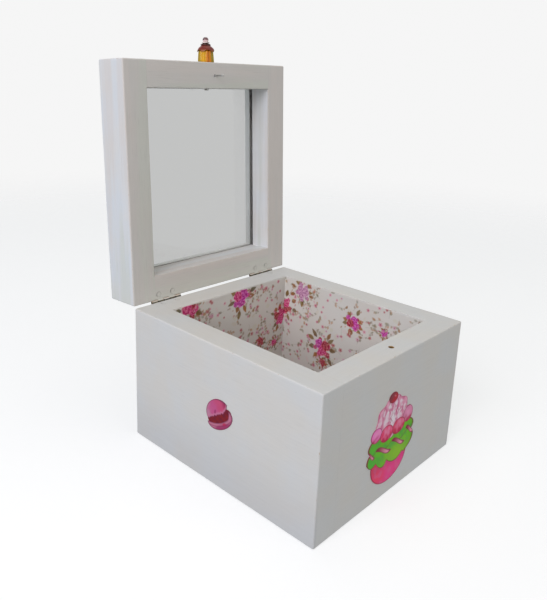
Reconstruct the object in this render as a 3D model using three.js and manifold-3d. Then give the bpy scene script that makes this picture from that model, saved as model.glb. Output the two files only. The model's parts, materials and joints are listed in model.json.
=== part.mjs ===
// Painted wooden keepsake box with a glazed lid that stands open on two stop hinges.
// Millimetres. +X is the box's right, +Y its back, +Z up, and the origin is the centre of its base.
// The lid's parts are drawn closed, in the box's frame, and one group swings them open.

import * as THREE from 'three';
import { mergeVertices } from 'three/addons/utils/BufferGeometryUtils.js';
import Module from 'manifold-3d';

const wasm = await Module();
wasm.setup();

// Case and lid
const width = 150;
const depth = 162;
const caseHeight = 94;
const lidThickness = 27;
const board = 18; // thickness of the case boards and width of the lid's frame
const fit = 0.3; // clearance round let-in pieces and at the lid's glued joints
const bottomThickness = 5;
const rabbet = 6; // how far the bottom is let into the boards
const liningThickness = 0.5;
const liningReveal = 0.5; // bare board left between the lining's top edge and the rim
const cutoutThickness = 0.4;

// Glass, measured up from the lid's underside
const grooveLow = 17.4;
const grooveHigh = 21.6;
const grooveReach = 3;
const glassThickness = 2;
const glassBase = 19.4;

// Hinges
const openAngle = THREE.MathUtils.degToRad(93);
const lidGap = 0.4; // between rim and closed lid
const axisBehindBack = 0.7;
const hingeCentres = { left: -48, right: 48 };
const hingeLength = 25;
const knuckleCount = 5;
const knuckleRadius = 1.2;
const knuckleBore = 0.65;
const hingePinRadius = 0.5;
const leafThickness = 1;
const leafReach = 8;
const screwSpacing = 12;
const screwLength = 8;
const screwShank = 0.8;
const screwHead = 1.8;
const headHeight = 0.9;
const slotWidth = 0.5;
const slotDepth = 0.4;

// Catch
const catchX = 2;
const catchInset = 9; // from the front edge
const catchPinRadius = 0.6;
const catchPinStandout = 9;
const catchPinGrip = 10;
const catchHoleRadius = 1.7;
const catchHoleDepth = 12;

// Knob, with heights measured out from the lid's front edge
const knobX = 4;
const knobRise = 11.5; // above the lid's underside
const cupRadius = 5.5;
const cupFlute = 0.3;
const cupFlutes = 12;
const cupTaper = 0.1; // how much narrower the cup is at its top
const cupHeight = 8.5;
const icingHeight = 14.3;
const creamHeight = 15.6;
const cherryRadius = 2;
const cherryHeight = 16.4;
const knobScrewRadius = 1;
const knobScrewHead = 1.8;
const knobScrewHeadHeight = 0.9;
const knobScrewReach = 6; // into the knob

const halfWidth = width / 2;
const halfDepth = depth / 2;
const wellX = halfWidth - board;
const wellY = halfDepth - board;
const lidBase = caseHeight + lidGap;
const lidTop = lidBase + lidThickness;
const axisY = halfDepth + axisBehindBack;
const axisZ = caseHeight + lidGap / 2;

// Materials

function finish(color, roughness, metalness = 0) {
  return new THREE.MeshStandardMaterial({ color, roughness, metalness });
}

const paint = finish(0xd2d1ca, 0.55);
const lidPaint = finish(0xcbc9c2, 0.55);
const plywood = finish(0xb9986b, 0.75);
const linen = finish(0xc4bdb6, 0.85);
const printedPink = finish(0xc04a82, 0.6);
const printedCake = finish(0x8fae45, 0.6);
const agedBrass = finish(0x8a7a55, 0.5, 0.9);
const steel = finish(0x8d8f92, 0.35, 1);
const yellowGlaze = finish(0xc8960f, 0.3);
const chocolate = finish(0x5a2410, 0.35);
const cream = finish(0xf1e4e0, 0.4);
const cherryRed = finish(0x6e1626, 0.25);

function glassFinish() {
  const glass = finish(0xdfe6e4, 0.05);
  glass.transparent = true;
  glass.opacity = 0.35;
  return glass;
}

const glass = glassFinish();

// Solids

function solidOf(geometry) {
  const bare = new THREE.BufferGeometry();
  bare.setAttribute('position', geometry.getAttribute('position'));
  bare.setIndex(geometry.index);
  const merged = mergeVertices(bare, 1e-4);
  const corners = merged.index.array;
  const faces = [];
  for (let i = 0; i < corners.length; i += 3) {
    const [a, b, c] = corners.slice(i, i + 3);
    if (a !== b && b !== c && c !== a) faces.push(a, b, c);
  }
  return new wasm.Manifold(new wasm.Mesh({
    numProp: 3,
    vertProperties: new Float32Array(merged.getAttribute('position').array),
    triVerts: new Uint32Array(faces),
  }));
}

function geometryOf(solid) {
  const { vertProperties, triVerts } = solid.getMesh();
  const geometry = new THREE.BufferGeometry();
  geometry.setAttribute('position', new THREE.BufferAttribute(vertProperties, 3));
  geometry.setIndex(new THREE.BufferAttribute(triVerts, 1));
  geometry.computeVertexNormals();
  return geometry;
}

function block([x0, x1], [y0, y1], [z0, z1]) {
  const box = new THREE.BoxGeometry(x1 - x0, y1 - y0, z1 - z0);
  box.translate((x0 + x1) / 2, (y0 + y1) / 2, (z0 + z1) / 2);
  return solidOf(box);
}

// A turned solid about the Z axis. The profile runs from its lowest point on the axis to its highest.
function turned(profile, sides = 24) {
  const points = profile.map(([radius, height]) => new THREE.Vector2(radius, height));
  return new THREE.LatheGeometry(points, sides).rotateX(Math.PI / 2);
}

function rod(radius, low, high, sides = 24) {
  return turned([[0, low], [radius, low], [radius, high], [0, high]], sides);
}

// Turn a shape drawn upright along Z so that it points out of the front, with its middle at x, z.
function pointingForward(geometry, x, z) {
  return geometry.rotateX(Math.PI / 2).translate(x, -halfDepth, z);
}

function rodAlongX(radius, centreX, length) {
  const bar = rod(radius, -length / 2, length / 2);
  return solidOf(bar.rotateY(Math.PI / 2).translate(centreX, axisY, axisZ));
}

function piece(name, geometry, material) {
  const mesh = new THREE.Mesh(geometry, material);
  mesh.name = name;
  return mesh;
}

// Hinges. The case leaf carries the outer and middle knuckles, the lid leaf the two between.

const knucklePitch = hingeLength / knuckleCount;

function leafLevels(onLid) {
  const low = onLid ? lidBase : caseHeight - leafThickness;
  return [low, low + leafThickness];
}

function screwPlaces(centreX) {
  return [centreX - screwSpacing / 2, centreX + screwSpacing / 2];
}

// A countersunk screw pointing down from its flush head, or its clearance when grown.
function screwProfile(grown) {
  return [
    [0, -screwLength - grown],
    [screwShank + grown, -screwLength - grown],
    [screwShank + grown, -headHeight - grown],
    [screwHead + grown, 0],
    [screwHead + grown, grown],
    [0, grown],
  ];
}

function placeScrew(geometry, x, onLid) {
  if (onLid) geometry.rotateX(Math.PI);
  return geometry.translate(x, halfDepth - leafReach / 2, onLid ? lidBase : caseHeight);
}

function screwClearance(x, onLid) {
  return solidOf(placeScrew(turned(screwProfile(fit), 16), x, onLid));
}

function hingeScrew(x, onLid) {
  const shank = solidOf(placeScrew(turned(screwProfile(0), 16), x, onLid));
  const face = onLid ? lidBase : caseHeight;
  const slotY = halfDepth - leafReach / 2;
  const slot = block(
    [x - screwHead, x + screwHead],
    [slotY - slotWidth / 2, slotY + slotWidth / 2],
    [face - slotDepth, face + slotDepth],
  );
  return geometryOf(shank.subtract(slot));
}

function hingeLeaf(centreX, onLid) {
  const levels = leafLevels(onLid);
  const ends = [centreX - hingeLength / 2, centreX + hingeLength / 2];
  const plateEnd = axisY - knuckleRadius - fit;
  let leaf = block(ends, [halfDepth - leafReach, plateEnd], levels);
  for (let i = onLid ? 1 : 0; i < knuckleCount; i += 2) {
    const start = ends[0] + i * knucklePitch + fit / 2;
    const span = [start, start + knucklePitch - fit];
    const arm = block(span, [plateEnd - fit, axisY], levels);
    const knuckle = rodAlongX(knuckleRadius, (span[0] + span[1]) / 2, span[1] - span[0]);
    leaf = leaf.add(arm).add(knuckle);
  }
  leaf = leaf.subtract(rodAlongX(knuckleBore, centreX, hingeLength + 2));
  for (const x of screwPlaces(centreX)) leaf = leaf.subtract(screwClearance(x, onLid));
  return geometryOf(leaf);
}

function hingePin(centreX) {
  return geometryOf(rodAlongX(hingePinRadius, centreX, hingeLength));
}

// The recesses that let the leaves in flush, with their knuckles at the edge of the board.
function letInHinges(boardSolid, onLid) {
  const [low, high] = leafLevels(onLid);
  const levels = onLid ? [low - 1, high + fit] : [low - fit, high + 1];
  let cut = boardSolid;
  for (const centreX of Object.values(hingeCentres)) {
    const half = hingeLength / 2 + fit;
    const across = [halfDepth - leafReach - fit, halfDepth + 1];
    cut = cut.subtract(block([centreX - half, centreX + half], across, levels));
    for (const x of screwPlaces(centreX)) cut = cut.subtract(screwClearance(x, onLid));
  }
  return cut;
}

// Case: four boards, with the front and back between the sides, and a bottom let in from below.

const bottomSpanX = wellX + rabbet;
const bottomSpanY = wellY + rabbet;

function caseBoard(spanX, spanY) {
  const rabbetCut = block(
    [-bottomSpanX, bottomSpanX],
    [-bottomSpanY, bottomSpanY],
    [-1, bottomThickness],
  );
  return block(spanX, spanY, [0, caseHeight]).subtract(rabbetCut);
}

function frontBoard() {
  const hole = rod(catchHoleRadius, caseHeight - catchHoleDepth, caseHeight + 1);
  hole.translate(catchX, -halfDepth + catchInset, 0);
  return caseBoard([-wellX, wellX], [-halfDepth, -wellY]).subtract(solidOf(hole));
}

function caseParts() {
  const across = [-wellX, wellX];
  const along = [-halfDepth, halfDepth];
  const left = letInHinges(caseBoard([-halfWidth, -wellX], along), false);
  const right = letInHinges(caseBoard([wellX, halfWidth], along), false);
  const back = letInHinges(caseBoard(across, [wellY, halfDepth]), false);
  const bottom = block([-bottomSpanX, bottomSpanX], [-bottomSpanY, bottomSpanY], [0, bottomThickness]);
  return [
    piece('left_side_board', geometryOf(left), paint),
    piece('right_side_board', geometryOf(right), paint),
    piece('front_board', geometryOf(frontBoard()), paint),
    piece('back_board', geometryOf(back), paint),
    piece('bottom_panel', geometryOf(bottom), plywood),
  ];
}

// Lining: a sheet on the floor, then the walls standing on it, the sides between front and back.

function liningParts() {
  const floor = [bottomThickness, bottomThickness + liningThickness];
  const wall = [floor[1], caseHeight - liningReveal];
  const innerX = wellX - liningThickness;
  const fullY = [-wellY, wellY];
  const innerSpanX = [-innerX, innerX];
  const sheets = {
    lining_floor: block([-wellX, wellX], fullY, floor),
    lining_left: block([-wellX, -innerX], fullY, wall),
    lining_right: block([innerX, wellX], fullY, wall),
    lining_front: block(innerSpanX, [-wellY, -wellY + liningThickness], wall),
    lining_back: block(innerSpanX, [wellY - liningThickness, wellY], wall),
  };
  return Object.entries(sheets).map(([name, sheet]) => piece(name, geometryOf(sheet), linen));
}

// Paper cut-outs glued on the front and left faces, drawn flat as x to the right and y up.

function oval(x, y, radiusX, radiusY, tilt = 0) {
  const outline = new THREE.Shape();
  outline.absellipse(x, y, radiusX, radiusY, 0, 2 * Math.PI, false, tilt);
  return paper(outline, 20);
}

function paper(outline, segments) {
  const settings = { depth: cutoutThickness, bevelEnabled: false, curveSegments: segments };
  return indexed(new THREE.ExtrudeGeometry(outline, settings));
}

function indexed(geometry) {
  geometry.deleteAttribute('normal');
  geometry.deleteAttribute('uv');
  return mergeVertices(geometry);
}

function cupcakeCutout() {
  const pieces = [
    oval(-4.9, 66.3, 5, 4),
    oval(-4, 54, 17, 13.5),
    oval(-3.2, 39.5, 25.6, 9.5),
    oval(-3.2, 31.5, 25.6, 9),
    oval(-4.3, 25, 19.6, 15.4),
  ];
  const whole = pieces.map((each) => solidOf(each)).reduce((sum, each) => sum.add(each));
  return pointingForward(geometryOf(whole), 0, 0);
}

function macaronCutout() {
  const shape = oval(3.3, 50, 12.7, 9.7, THREE.MathUtils.degToRad(31));
  shape.rotateX(Math.PI / 2).rotateZ(-Math.PI / 2);
  return shape.translate(-halfWidth, 0, 0);
}

function cutoutParts() {
  return [
    piece('cupcake_cutout', cupcakeCutout(), printedCake),
    piece('macaron_cutout', macaronCutout(), printedPink),
  ];
}

// Lid: two full-length stiles with the rails between them, all grooved for the glass.

function lidMember(spanX, spanY) {
  const grooveCut = block(
    [-wellX - grooveReach, wellX + grooveReach],
    [-wellY - grooveReach, wellY + grooveReach],
    [lidBase + grooveLow, lidBase + grooveHigh],
  );
  return block(spanX, spanY, [lidBase, lidTop]).subtract(grooveCut);
}

function frontRail(spanX) {
  const catchBore = rod(catchPinRadius + fit, lidBase - 1, lidBase + catchPinGrip + fit, 16);
  catchBore.translate(catchX, -halfDepth + catchInset, 0);
  const knobBore = rod(knobScrewRadius + fit, -board - 1, 1, 16);
  return lidMember(spanX, [-halfDepth, -wellY])
    .subtract(solidOf(catchBore))
    .subtract(solidOf(pointingForward(knobBore, knobX, lidBase + knobRise)));
}

function catchPin() {
  const foot = lidBase - catchPinStandout;
  const profile = [
    [0, foot],
    [catchPinRadius - 0.3, foot],
    [catchPinRadius, foot + 0.6],
    [catchPinRadius, lidBase + catchPinGrip],
    [0, lidBase + catchPinGrip],
  ];
  return turned(profile, 16).translate(catchX, -halfDepth + catchInset, 0);
}

function lidParts() {
  const between = [-wellX + fit, wellX - fit];
  const along = [-halfDepth, halfDepth];
  const leftStile = letInHinges(lidMember([-halfWidth, -wellX], along), true);
  const rightStile = letInHinges(lidMember([wellX, halfWidth], along), true);
  const backRail = letInHinges(lidMember(between, [wellY, halfDepth]), true);
  const paneX = wellX + grooveReach - fit;
  const paneY = wellY + grooveReach - fit;
  const paneLevels = [lidBase + glassBase, lidBase + glassBase + glassThickness];
  const pane = block([-paneX, paneX], [-paneY, paneY], paneLevels);
  return [
    piece('lid_left_stile', geometryOf(leftStile), lidPaint),
    piece('lid_right_stile', geometryOf(rightStile), lidPaint),
    piece('lid_front_rail', geometryOf(frontRail(between)), lidPaint),
    piece('lid_back_rail', geometryOf(backRail), lidPaint),
    piece('lid_glass', geometryOf(pane), glass),
    piece('catch_pin', catchPin(), steel),
  ];
}

// Knob: a turned cupcake held by a screw through the front rail.

function onKnob(geometry) {
  return pointingForward(geometry, knobX, lidBase + knobRise);
}

function flutedCup() {
  const outline = new THREE.Shape();
  const steps = cupFlutes * 6;
  for (let i = 0; i < steps; i += 1) {
    const angle = (i / steps) * 2 * Math.PI;
    const radius = cupRadius + cupFlute * Math.cos(cupFlutes * angle);
    outline[i ? 'lineTo' : 'moveTo'](radius * Math.cos(angle), radius * Math.sin(angle));
  }
  const settings = { depth: cupHeight - fit, bevelEnabled: false };
  const cup = indexed(new THREE.ExtrudeGeometry(outline, settings)).translate(0, 0, fit);
  const corners = cup.getAttribute('position');
  for (let i = 0; i < corners.count; i += 1) {
    const share = 1 - cupTaper * (corners.getZ(i) / cupHeight);
    corners.setXY(i, corners.getX(i) * share, corners.getY(i) * share);
  }
  const bore = rod(knobScrewRadius + fit, -1, knobScrewReach + fit, 16);
  return geometryOf(solidOf(cup).subtract(solidOf(bore)));
}

function knobScrew() {
  const innerFace = -board - fit;
  return turned([
    [0, innerFace - knobScrewHeadHeight],
    [knobScrewHead * 0.6, innerFace - knobScrewHeadHeight],
    [knobScrewHead, innerFace - knobScrewHeadHeight / 3],
    [knobScrewHead, innerFace],
    [knobScrewRadius, innerFace],
    [knobScrewRadius, knobScrewReach],
    [0, knobScrewReach],
  ], 16);
}

function knobParts() {
  const icing = turned([
    [0, cupHeight + fit],
    [6.2, cupHeight + fit],
    [6.2, 9.2],
    [4.9, 10.8],
    [3.6, 11.8],
    [3.7, 13],
    [2.6, icingHeight],
    [0, icingHeight],
  ]);
  const dollop = turned([
    [0, icingHeight + fit],
    [2.4, icingHeight + fit],
    [1.7, creamHeight - 0.4],
    [0, creamHeight - 0.4],
  ]);
  const cherryLow = creamHeight - 0.4 + fit;
  const flat = Math.acos((cherryHeight - cherryLow) / cherryRadius);
  const cherryProfile = [[0, cherryLow]];
  for (let i = 0; i <= 10; i += 1) {
    const angle = flat + (i / 10) * (Math.PI - flat);
    const height = cherryHeight - cherryRadius * Math.cos(angle);
    cherryProfile.push([i === 10 ? 0 : cherryRadius * Math.sin(angle), height]);
  }
  return [
    piece('knob_cup', onKnob(flutedCup()), yellowGlaze),
    piece('knob_icing', onKnob(icing), chocolate),
    piece('knob_cream', onKnob(dollop), cream),
    piece('knob_cherry', onKnob(turned(cherryProfile)), cherryRed),
    piece('knob_screw', onKnob(knobScrew()), steel),
  ];
}

function hingeParts(onLid) {
  const side = onLid ? 'lid' : 'case';
  const parts = [];
  for (const [place, centreX] of Object.entries(hingeCentres)) {
    parts.push(piece(`hinge_${place}_${side}_leaf`, hingeLeaf(centreX, onLid), agedBrass));
    if (!onLid) parts.push(piece(`hinge_${place}_pin`, hingePin(centreX), agedBrass));
    screwPlaces(centreX).forEach((x, i) => {
      parts.push(piece(`hinge_${place}_${side}_screw_${i + 1}`, hingeScrew(x, onLid), agedBrass));
    });
  }
  return parts;
}

// The closed frame hangs from the hinge axis, and the swing group turns it back to its stop.
const closedLid = new THREE.Group();
closedLid.position.set(0, -axisY, -axisZ);
closedLid.add(...lidParts(), ...knobParts(), ...hingeParts(true));

const swing = new THREE.Group();
swing.position.set(0, axisY, axisZ);
swing.rotation.x = -openAngle;
swing.add(closedLid);

const keepsakeBox = new THREE.Group();
keepsakeBox.add(...caseParts(), ...liningParts(), ...cutoutParts(), ...hingeParts(false), swing);

export default keepsakeBox;
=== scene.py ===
# %% [markdown]
# # A painted keepsake box with a glazed lid
#
# The real box is made of 18 mm boards, glued, sanded and brushed with off-white paint. Its well is
# lined with printed rose paper, a paper cupcake is glued on the front and a paper macaron on the left
# side. The lid is a thick frame round a pane of glass. It swings on two small hinges that were painted
# over with the wood, and its knob is a little glazed cupcake.
#
# The engineered model is loaded first and never moves. Every visible piece is then made round it, at
# the place and size that the frame gives.

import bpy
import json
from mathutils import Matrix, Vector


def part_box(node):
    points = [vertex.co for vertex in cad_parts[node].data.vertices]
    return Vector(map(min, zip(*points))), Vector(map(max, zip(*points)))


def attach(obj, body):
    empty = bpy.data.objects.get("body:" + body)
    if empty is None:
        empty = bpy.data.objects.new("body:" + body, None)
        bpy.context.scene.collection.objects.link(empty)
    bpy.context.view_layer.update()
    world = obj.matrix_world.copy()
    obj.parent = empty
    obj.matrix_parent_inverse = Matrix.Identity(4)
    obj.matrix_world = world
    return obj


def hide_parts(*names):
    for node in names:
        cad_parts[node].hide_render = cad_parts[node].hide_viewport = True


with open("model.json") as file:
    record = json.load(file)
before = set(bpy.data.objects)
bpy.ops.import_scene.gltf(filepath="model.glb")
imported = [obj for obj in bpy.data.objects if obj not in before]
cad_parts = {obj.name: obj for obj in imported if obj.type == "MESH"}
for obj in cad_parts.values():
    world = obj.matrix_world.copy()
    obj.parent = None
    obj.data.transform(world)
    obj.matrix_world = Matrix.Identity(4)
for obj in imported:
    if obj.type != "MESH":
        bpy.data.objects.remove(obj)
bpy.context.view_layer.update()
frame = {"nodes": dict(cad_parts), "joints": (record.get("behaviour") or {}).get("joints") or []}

# %% [markdown]
# Blender works in metres. Workshop sizes are easier to read in millimetres, so `mm` turns one into the
# other, and the driving sizes come from the frame's own boards.

# %% Sizes of the box
import json
import math
import random
from contextlib import contextmanager

import bmesh
import bpy
import numpy as np
from mathutils import Matrix, Vector, noise

mm = 0.001
side_low, side_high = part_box("left_side_board")
HALF_WIDTH = -side_low.x / mm
HALF_DEPTH = side_high.y / mm
RIM = side_high.z / mm
BOARD = (side_high.x - side_low.x) / mm
WELL_X = HALF_WIDTH - BOARD
WELL_Y = HALF_DEPTH - BOARD
print(f"case {2 * HALF_WIDTH:.0f} x {2 * HALF_DEPTH:.0f} x {RIM:.0f} mm, boards {BOARD:.0f} mm")

# %% [markdown]
# The lid stands open in the frame, leaning back past upright. It is easier to work on while it lies
# shut, square with the case, so its pieces are turned down about the hinge axis, worked on there and
# turned back up at the end.

# %% Shut and open the lid
hinge = frame["joints"][0]
AXIS = Vector(hinge["pos_m"])
OPEN_ANGLE = math.radians(hinge["range_deg"][1])


def about_hinge(angle):
    turn = Matrix.Rotation(angle, 4, "X")
    return Matrix.Translation(AXIS) @ turn @ Matrix.Translation(-AXIS)


SHUT = about_hinge(OPEN_ANGLE)
OPEN = about_hinge(-OPEN_ANGLE)
stile_corners = [SHUT @ v.co for v in frame["nodes"]["lid_left_stile"].data.vertices]
LID_BASE = min(corner.z for corner in stile_corners) / mm
LID_TOP = max(corner.z for corner in stile_corners) / mm
pane_corners = [SHUT @ v.co for v in frame["nodes"]["lid_glass"].data.vertices]
PANE_LOW = min(corner.z for corner in pane_corners) / mm
PANE_HIGH = max(corner.z for corner in pane_corners) / mm
PANE_GAP = 2  # between the pane and the lower wall of its groove
print(f"shut, the lid reaches from {LID_BASE:.1f} to {LID_TOP:.1f} mm above the table")

# %% [markdown]
# ## Working by hand in edit mode
#
# An operator acts on everything that is selected, so each step starts with nothing selected and then
# picks its own vertices, edges or faces by where they are.


# %% Edit one piece at a time
def make_active(piece):
    bpy.ops.object.select_all(action="DESELECT")
    piece.select_set(True)
    bpy.context.view_layer.objects.active = piece


@contextmanager
def editing(piece, kind="FACE"):
    make_active(piece)
    bpy.ops.object.mode_set(mode="EDIT")
    bpy.ops.mesh.select_mode(type=kind)
    bpy.ops.mesh.select_all(action="DESELECT")
    yield
    bpy.ops.object.mode_set(mode="OBJECT")


def pick(piece, kind, chosen):
    """Selects exactly the verts, edges or faces that chosen() accepts, and says how many."""
    bpy.ops.mesh.select_all(action="DESELECT")
    mesh = bmesh.from_edit_mesh(piece.data)
    found = [element for element in getattr(mesh, kind) if chosen(element)]
    for element in found:
        element.select_set(True)
    mesh.select_flush_mode()
    bmesh.update_edit_mesh(piece.data)
    return len(found)


def middle(edge):
    return (edge.verts[0].co + edge.verts[1].co) / 2


def is_sharp(edge):
    return len(edge.link_faces) == 2 and edge.calc_face_angle() > math.radians(30)


def near(value, target, reach=0.05):
    return abs(value - target) < reach


# %% [markdown]
# Wooden parts start as copies of the engineered ones, because those already hold every rabbet, groove
# and bore. A copy comes as loose triangles: its corners are merged and its flat faces joined before
# anything else is done to it.


# %% Copy an engineered part
def copy_of(node, name, closed=False):
    piece = bpy.data.objects.new(name, frame["nodes"][node].data.copy())
    bpy.context.scene.collection.objects.link(piece)
    piece.data.materials.clear()
    with editing(piece):
        bpy.ops.mesh.select_all(action="SELECT")
        bpy.ops.mesh.customdata_custom_splitnormals_clear()
        bpy.ops.mesh.remove_doubles(threshold=0.002 * mm)
        bpy.ops.mesh.dissolve_limited(angle_limit=math.radians(0.5))
    if closed:
        piece.data.transform(SHUT)
    return piece


def round_edges(piece, chosen, width, segments):
    """Bevels the edges that chosen() accepts. The width is in millimetres."""
    with editing(piece, "EDGE"):
        if pick(piece, "edges", chosen):
            bpy.ops.mesh.bevel(offset=width * mm, segments=segments, affect="EDGES")


def slice_piece(piece, axis, places):
    """Cuts all the faces at some places along an axis, in millimetres, and keeps both sides."""
    normal = [0, 0, 0]
    normal[axis] = 1
    with editing(piece):
        for place in places:
            point = [0, 0, 0]
            point[axis] = place * mm
            bpy.ops.mesh.select_all(action="SELECT")
            bpy.ops.mesh.bisect(plane_co=point, plane_no=normal)


# %% [markdown]
# Hand-sanded boards are never quite flat. One soft field of tiny shifts, which depends only on place,
# moves every painted piece, so that neighbours stay in touch while the edges lose their ruler look.
# The paper glued on the boards follows the same field.


# %% Take the ruler look off
WAVINESS = 0.11  # mm
WAVE_LENGTH = 34  # mm
noise.seed_set(1)  # without a seed the field is another one on every run


def hand_sanded(piece):
    for vertex in piece.data.vertices:
        field = noise.noise_vector(vertex.co / (WAVE_LENGTH * mm))
        vertex.co += field * WAVINESS * mm


# %% [markdown]
# Every finished piece gets its smooth shading, its material and the body that it moves with, and the
# engineered parts that it replaces are hidden.


# %% Finish a piece
made = []


def hand_over(piece, material, body, slot, *nodes, crease=40, steady=False):
    make_active(piece)
    bpy.ops.object.shade_smooth_by_angle(angle=math.radians(crease))
    if steady:
        weighted = piece.modifiers.new("Flat faces stay flat", "WEIGHTED_NORMAL")
        weighted.keep_sharp = True
        bpy.ops.object.modifier_apply(modifier=weighted.name)
    piece.data.materials.append(material)
    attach(piece, body)
    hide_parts(*nodes)
    made.append(piece)
    print(f"{piece.name}: {len(piece.data.polygons)} faces")

# %% [markdown]
# ## Shader arithmetic
#
# A finish is a sum of soft patterns. `Socket` lets them be written as ordinary arithmetic: every
# operator adds a Math node. `Shader.node` adds any other node from its type, settings and sockets.


# %% Sockets that can be added and multiplied
class Socket:
    def __init__(self, shader, output):
        self.shader = shader
        self.output = output

    def maths(self, operation, *values):
        sockets = dict(enumerate(values))
        return self.shader.node("ShaderNodeMath", {"operation": operation}, sockets)

    def __add__(self, other):
        return self.maths("ADD", self, other)

    def __radd__(self, other):
        return self.maths("ADD", other, self)

    def __sub__(self, other):
        return self.maths("SUBTRACT", self, other)

    def __rsub__(self, other):
        return self.maths("SUBTRACT", other, self)

    def __mul__(self, other):
        return self.maths("MULTIPLY", self, other)

    def __rmul__(self, other):
        return self.maths("MULTIPLY", other, self)

    def __pow__(self, other):
        return self.maths("POWER", self, other)

    def __abs__(self):
        return self.maths("ABSOLUTE", self)

    def smaller(self, other):
        return self.maths("MINIMUM", self, other)

    def larger(self, other):
        return self.maths("MAXIMUM", self, other)

    def fade(self, low, high):
        """0 where this is below low, 1 above high, and smooth between. Low may be the larger."""
        kind = {"interpolation_type": "SMOOTHSTEP"}
        return self.shader.node("ShaderNodeMapRange", kind, {0: self, 1: low, 2: high})


# %% A material in the making
class Shader:
    def __init__(self, name):
        self.material = bpy.data.materials.new(name)
        self.material.use_nodes = True
        self.tree = self.material.node_tree
        self.tree.nodes.clear()

    def node(self, kind, settings=None, sockets=None, output=0):
        made_node = self.tree.nodes.new(kind)
        for setting, value in (settings or {}).items():
            if setting == "stops":
                self.set_stops(made_node.color_ramp, value)
            else:
                setattr(made_node, setting, value)
        for socket, value in (sockets or {}).items():
            if isinstance(value, Socket):
                self.tree.links.new(value.output, made_node.inputs[socket])
            else:
                made_node.inputs[socket].default_value = value
        return Socket(self, made_node.outputs[output]) if made_node.outputs else None

    @staticmethod
    def set_stops(ramp, stops):
        while len(ramp.elements) < len(stops):
            ramp.elements.new(1)
        for element, (place, colour) in zip(ramp.elements, stops):
            element.position = place
            element.color = colour

    def place(self, closed_lid=False):
        """Where a point is, in millimetres. On the lid it is where the point lies with the lid shut."""
        sockets = {"Scale": (1 / mm,) * 3}
        if closed_lid:
            sockets["Rotation"] = (OPEN_ANGLE, 0, 0)
            sockets["Location"] = SHUT.to_translation() / mm
        sockets[0] = self.node("ShaderNodeTexCoord", output="Object")
        return self.node("ShaderNodeMapping", {}, sockets)

    def parts(self, vector):
        apart = self.node("ShaderNodeSeparateXYZ", {}, {0: vector})
        outputs = apart.output.node.outputs
        return [Socket(self, output) for output in outputs]

    def stretched(self, vector, scale):
        return self.node("ShaderNodeVectorMath", {"operation": "MULTIPLY"}, {0: vector, 1: scale})

    def noise(self, vector, scale, detail=2, roughness=0.5, distortion=0):
        """Soft noise from 0 to 1 with a middle of 0.5. The scale is in waves per millimetre."""
        sockets = {"Vector": vector, "Scale": scale, "Detail": detail}
        sockets |= {"Roughness": roughness, "Distortion": distortion}
        return self.node("ShaderNodeTexNoise", {}, sockets)

    def mix(self, factor, first, second, blend="MIX"):
        kind = {"data_type": "RGBA", "blend_type": blend}
        return self.node("ShaderNodeMix", kind, {0: factor, 6: first, 7: second}, output=2)

    def grey(self, value):
        """A value as a neutral colour, for multiplying another colour."""
        return self.node("ShaderNodeCombineColor", {}, {0: value, 1: value, 2: value})

    def bump(self, height, depth, strength):
        """Relief from a height pattern whose full swing is depth millimetres."""
        sockets = {"Height": height, "Distance": depth * mm, "Strength": strength}
        return self.node("ShaderNodeBump", {}, sockets)

    def surface(self, sockets):
        shine = self.node("ShaderNodeBsdfPrincipled", {}, sockets)
        self.node("ShaderNodeOutputMaterial", {}, {"Surface": shine})
        return self.material


def colour_of(red, green, blue):
    """A colour picked on screen, 0 to 255, as the light it reflects."""
    srgb = np.array([red, green, blue]) / 255
    light = np.where(srgb <= 0.04045, srgb / 12.92, ((srgb + 0.055) / 1.055) ** 2.4)
    return light


def tint(red, green, blue):
    return (*colour_of(red, green, blue), 1)


# %% [markdown]
# ## Brushed off-white paint
#
# The paint is thin and chalky. It went on with a flat brush along each board, so it is streaked that
# way, and the grain shows through where it is thinnest. Under the lid it leans to pink and to green
# in soft patches. It is worn at the edges, and butt joints show as hairlines that come and go. All of
# this is worked out from the place on the box, so nothing has to be unwrapped.


# %% How far a point is from the nearest edge
def beyond_opening(x, y):
    """How far a point is outside the opening, looking straight down. Inside it is negative."""
    return (abs(x) - WELL_X).larger(abs(y) - WELL_Y)


def edge_distance(x, y, z, low, high):
    side = HALF_WIDTH - abs(x)
    end = HALF_DEPTH - abs(y)
    face = (high - z).smaller(z - low)
    opening = beyond_opening(x, y)
    outer = side.larger(end).smaller(end.larger(face)).smaller(side.larger(face))
    return outer.smaller(face.larger(opening))


def seam_mask(x, y, place, shader):
    """The hairline where the members between the long ones butt against them."""
    across = abs(abs(x) - WELL_X)
    beyond_well = (abs(y) - WELL_Y).fade(-0.4, 0.2)
    broken = shader.noise(place, 0.12, detail=3).fade(0.42, 0.62)
    return across.fade(0.28, 0.08) * beyond_well * (0.35 + 0.65 * broken)


# %% The paint itself
PAINT_WARM = tint(213, 209, 203)
PAINT_COOL = tint(210, 209, 207)
LID_WARM = tint(220, 218, 216)
LID_COOL = tint(214, 217, 221)
UNDER_LID = tint(204, 197, 189)
INSIDE_FACE_LIGHT = tint(250, 249, 246)
GROOVE_SHADE_AND_DIRT = tint(26, 24, 22)
FOOT_SHADE = tint(180, 180, 184)
PAINT_PINK = tint(214, 205, 198)
PAINT_GREEN = tint(203, 206, 194)
RAW_WOOD = tint(176, 140, 92)
SEAM_DIRT = tint(104, 98, 86)


def case_colour(shader, place, clouds):
    """Off-white, with painted shade that greys the sides towards their foot."""
    x, y, z = shader.parts(place)
    colour = shader.mix(clouds.fade(0.3, 0.7), PAINT_WARM, PAINT_COOL)
    # painted shade: the sides turn greyer towards the floor
    foot_shading = (HALF_WIDTH - abs(x)).fade(3, 1) * z.fade(48, 0)
    return shader.mix(foot_shading * 0.35, colour, FOOT_SHADE)


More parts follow.
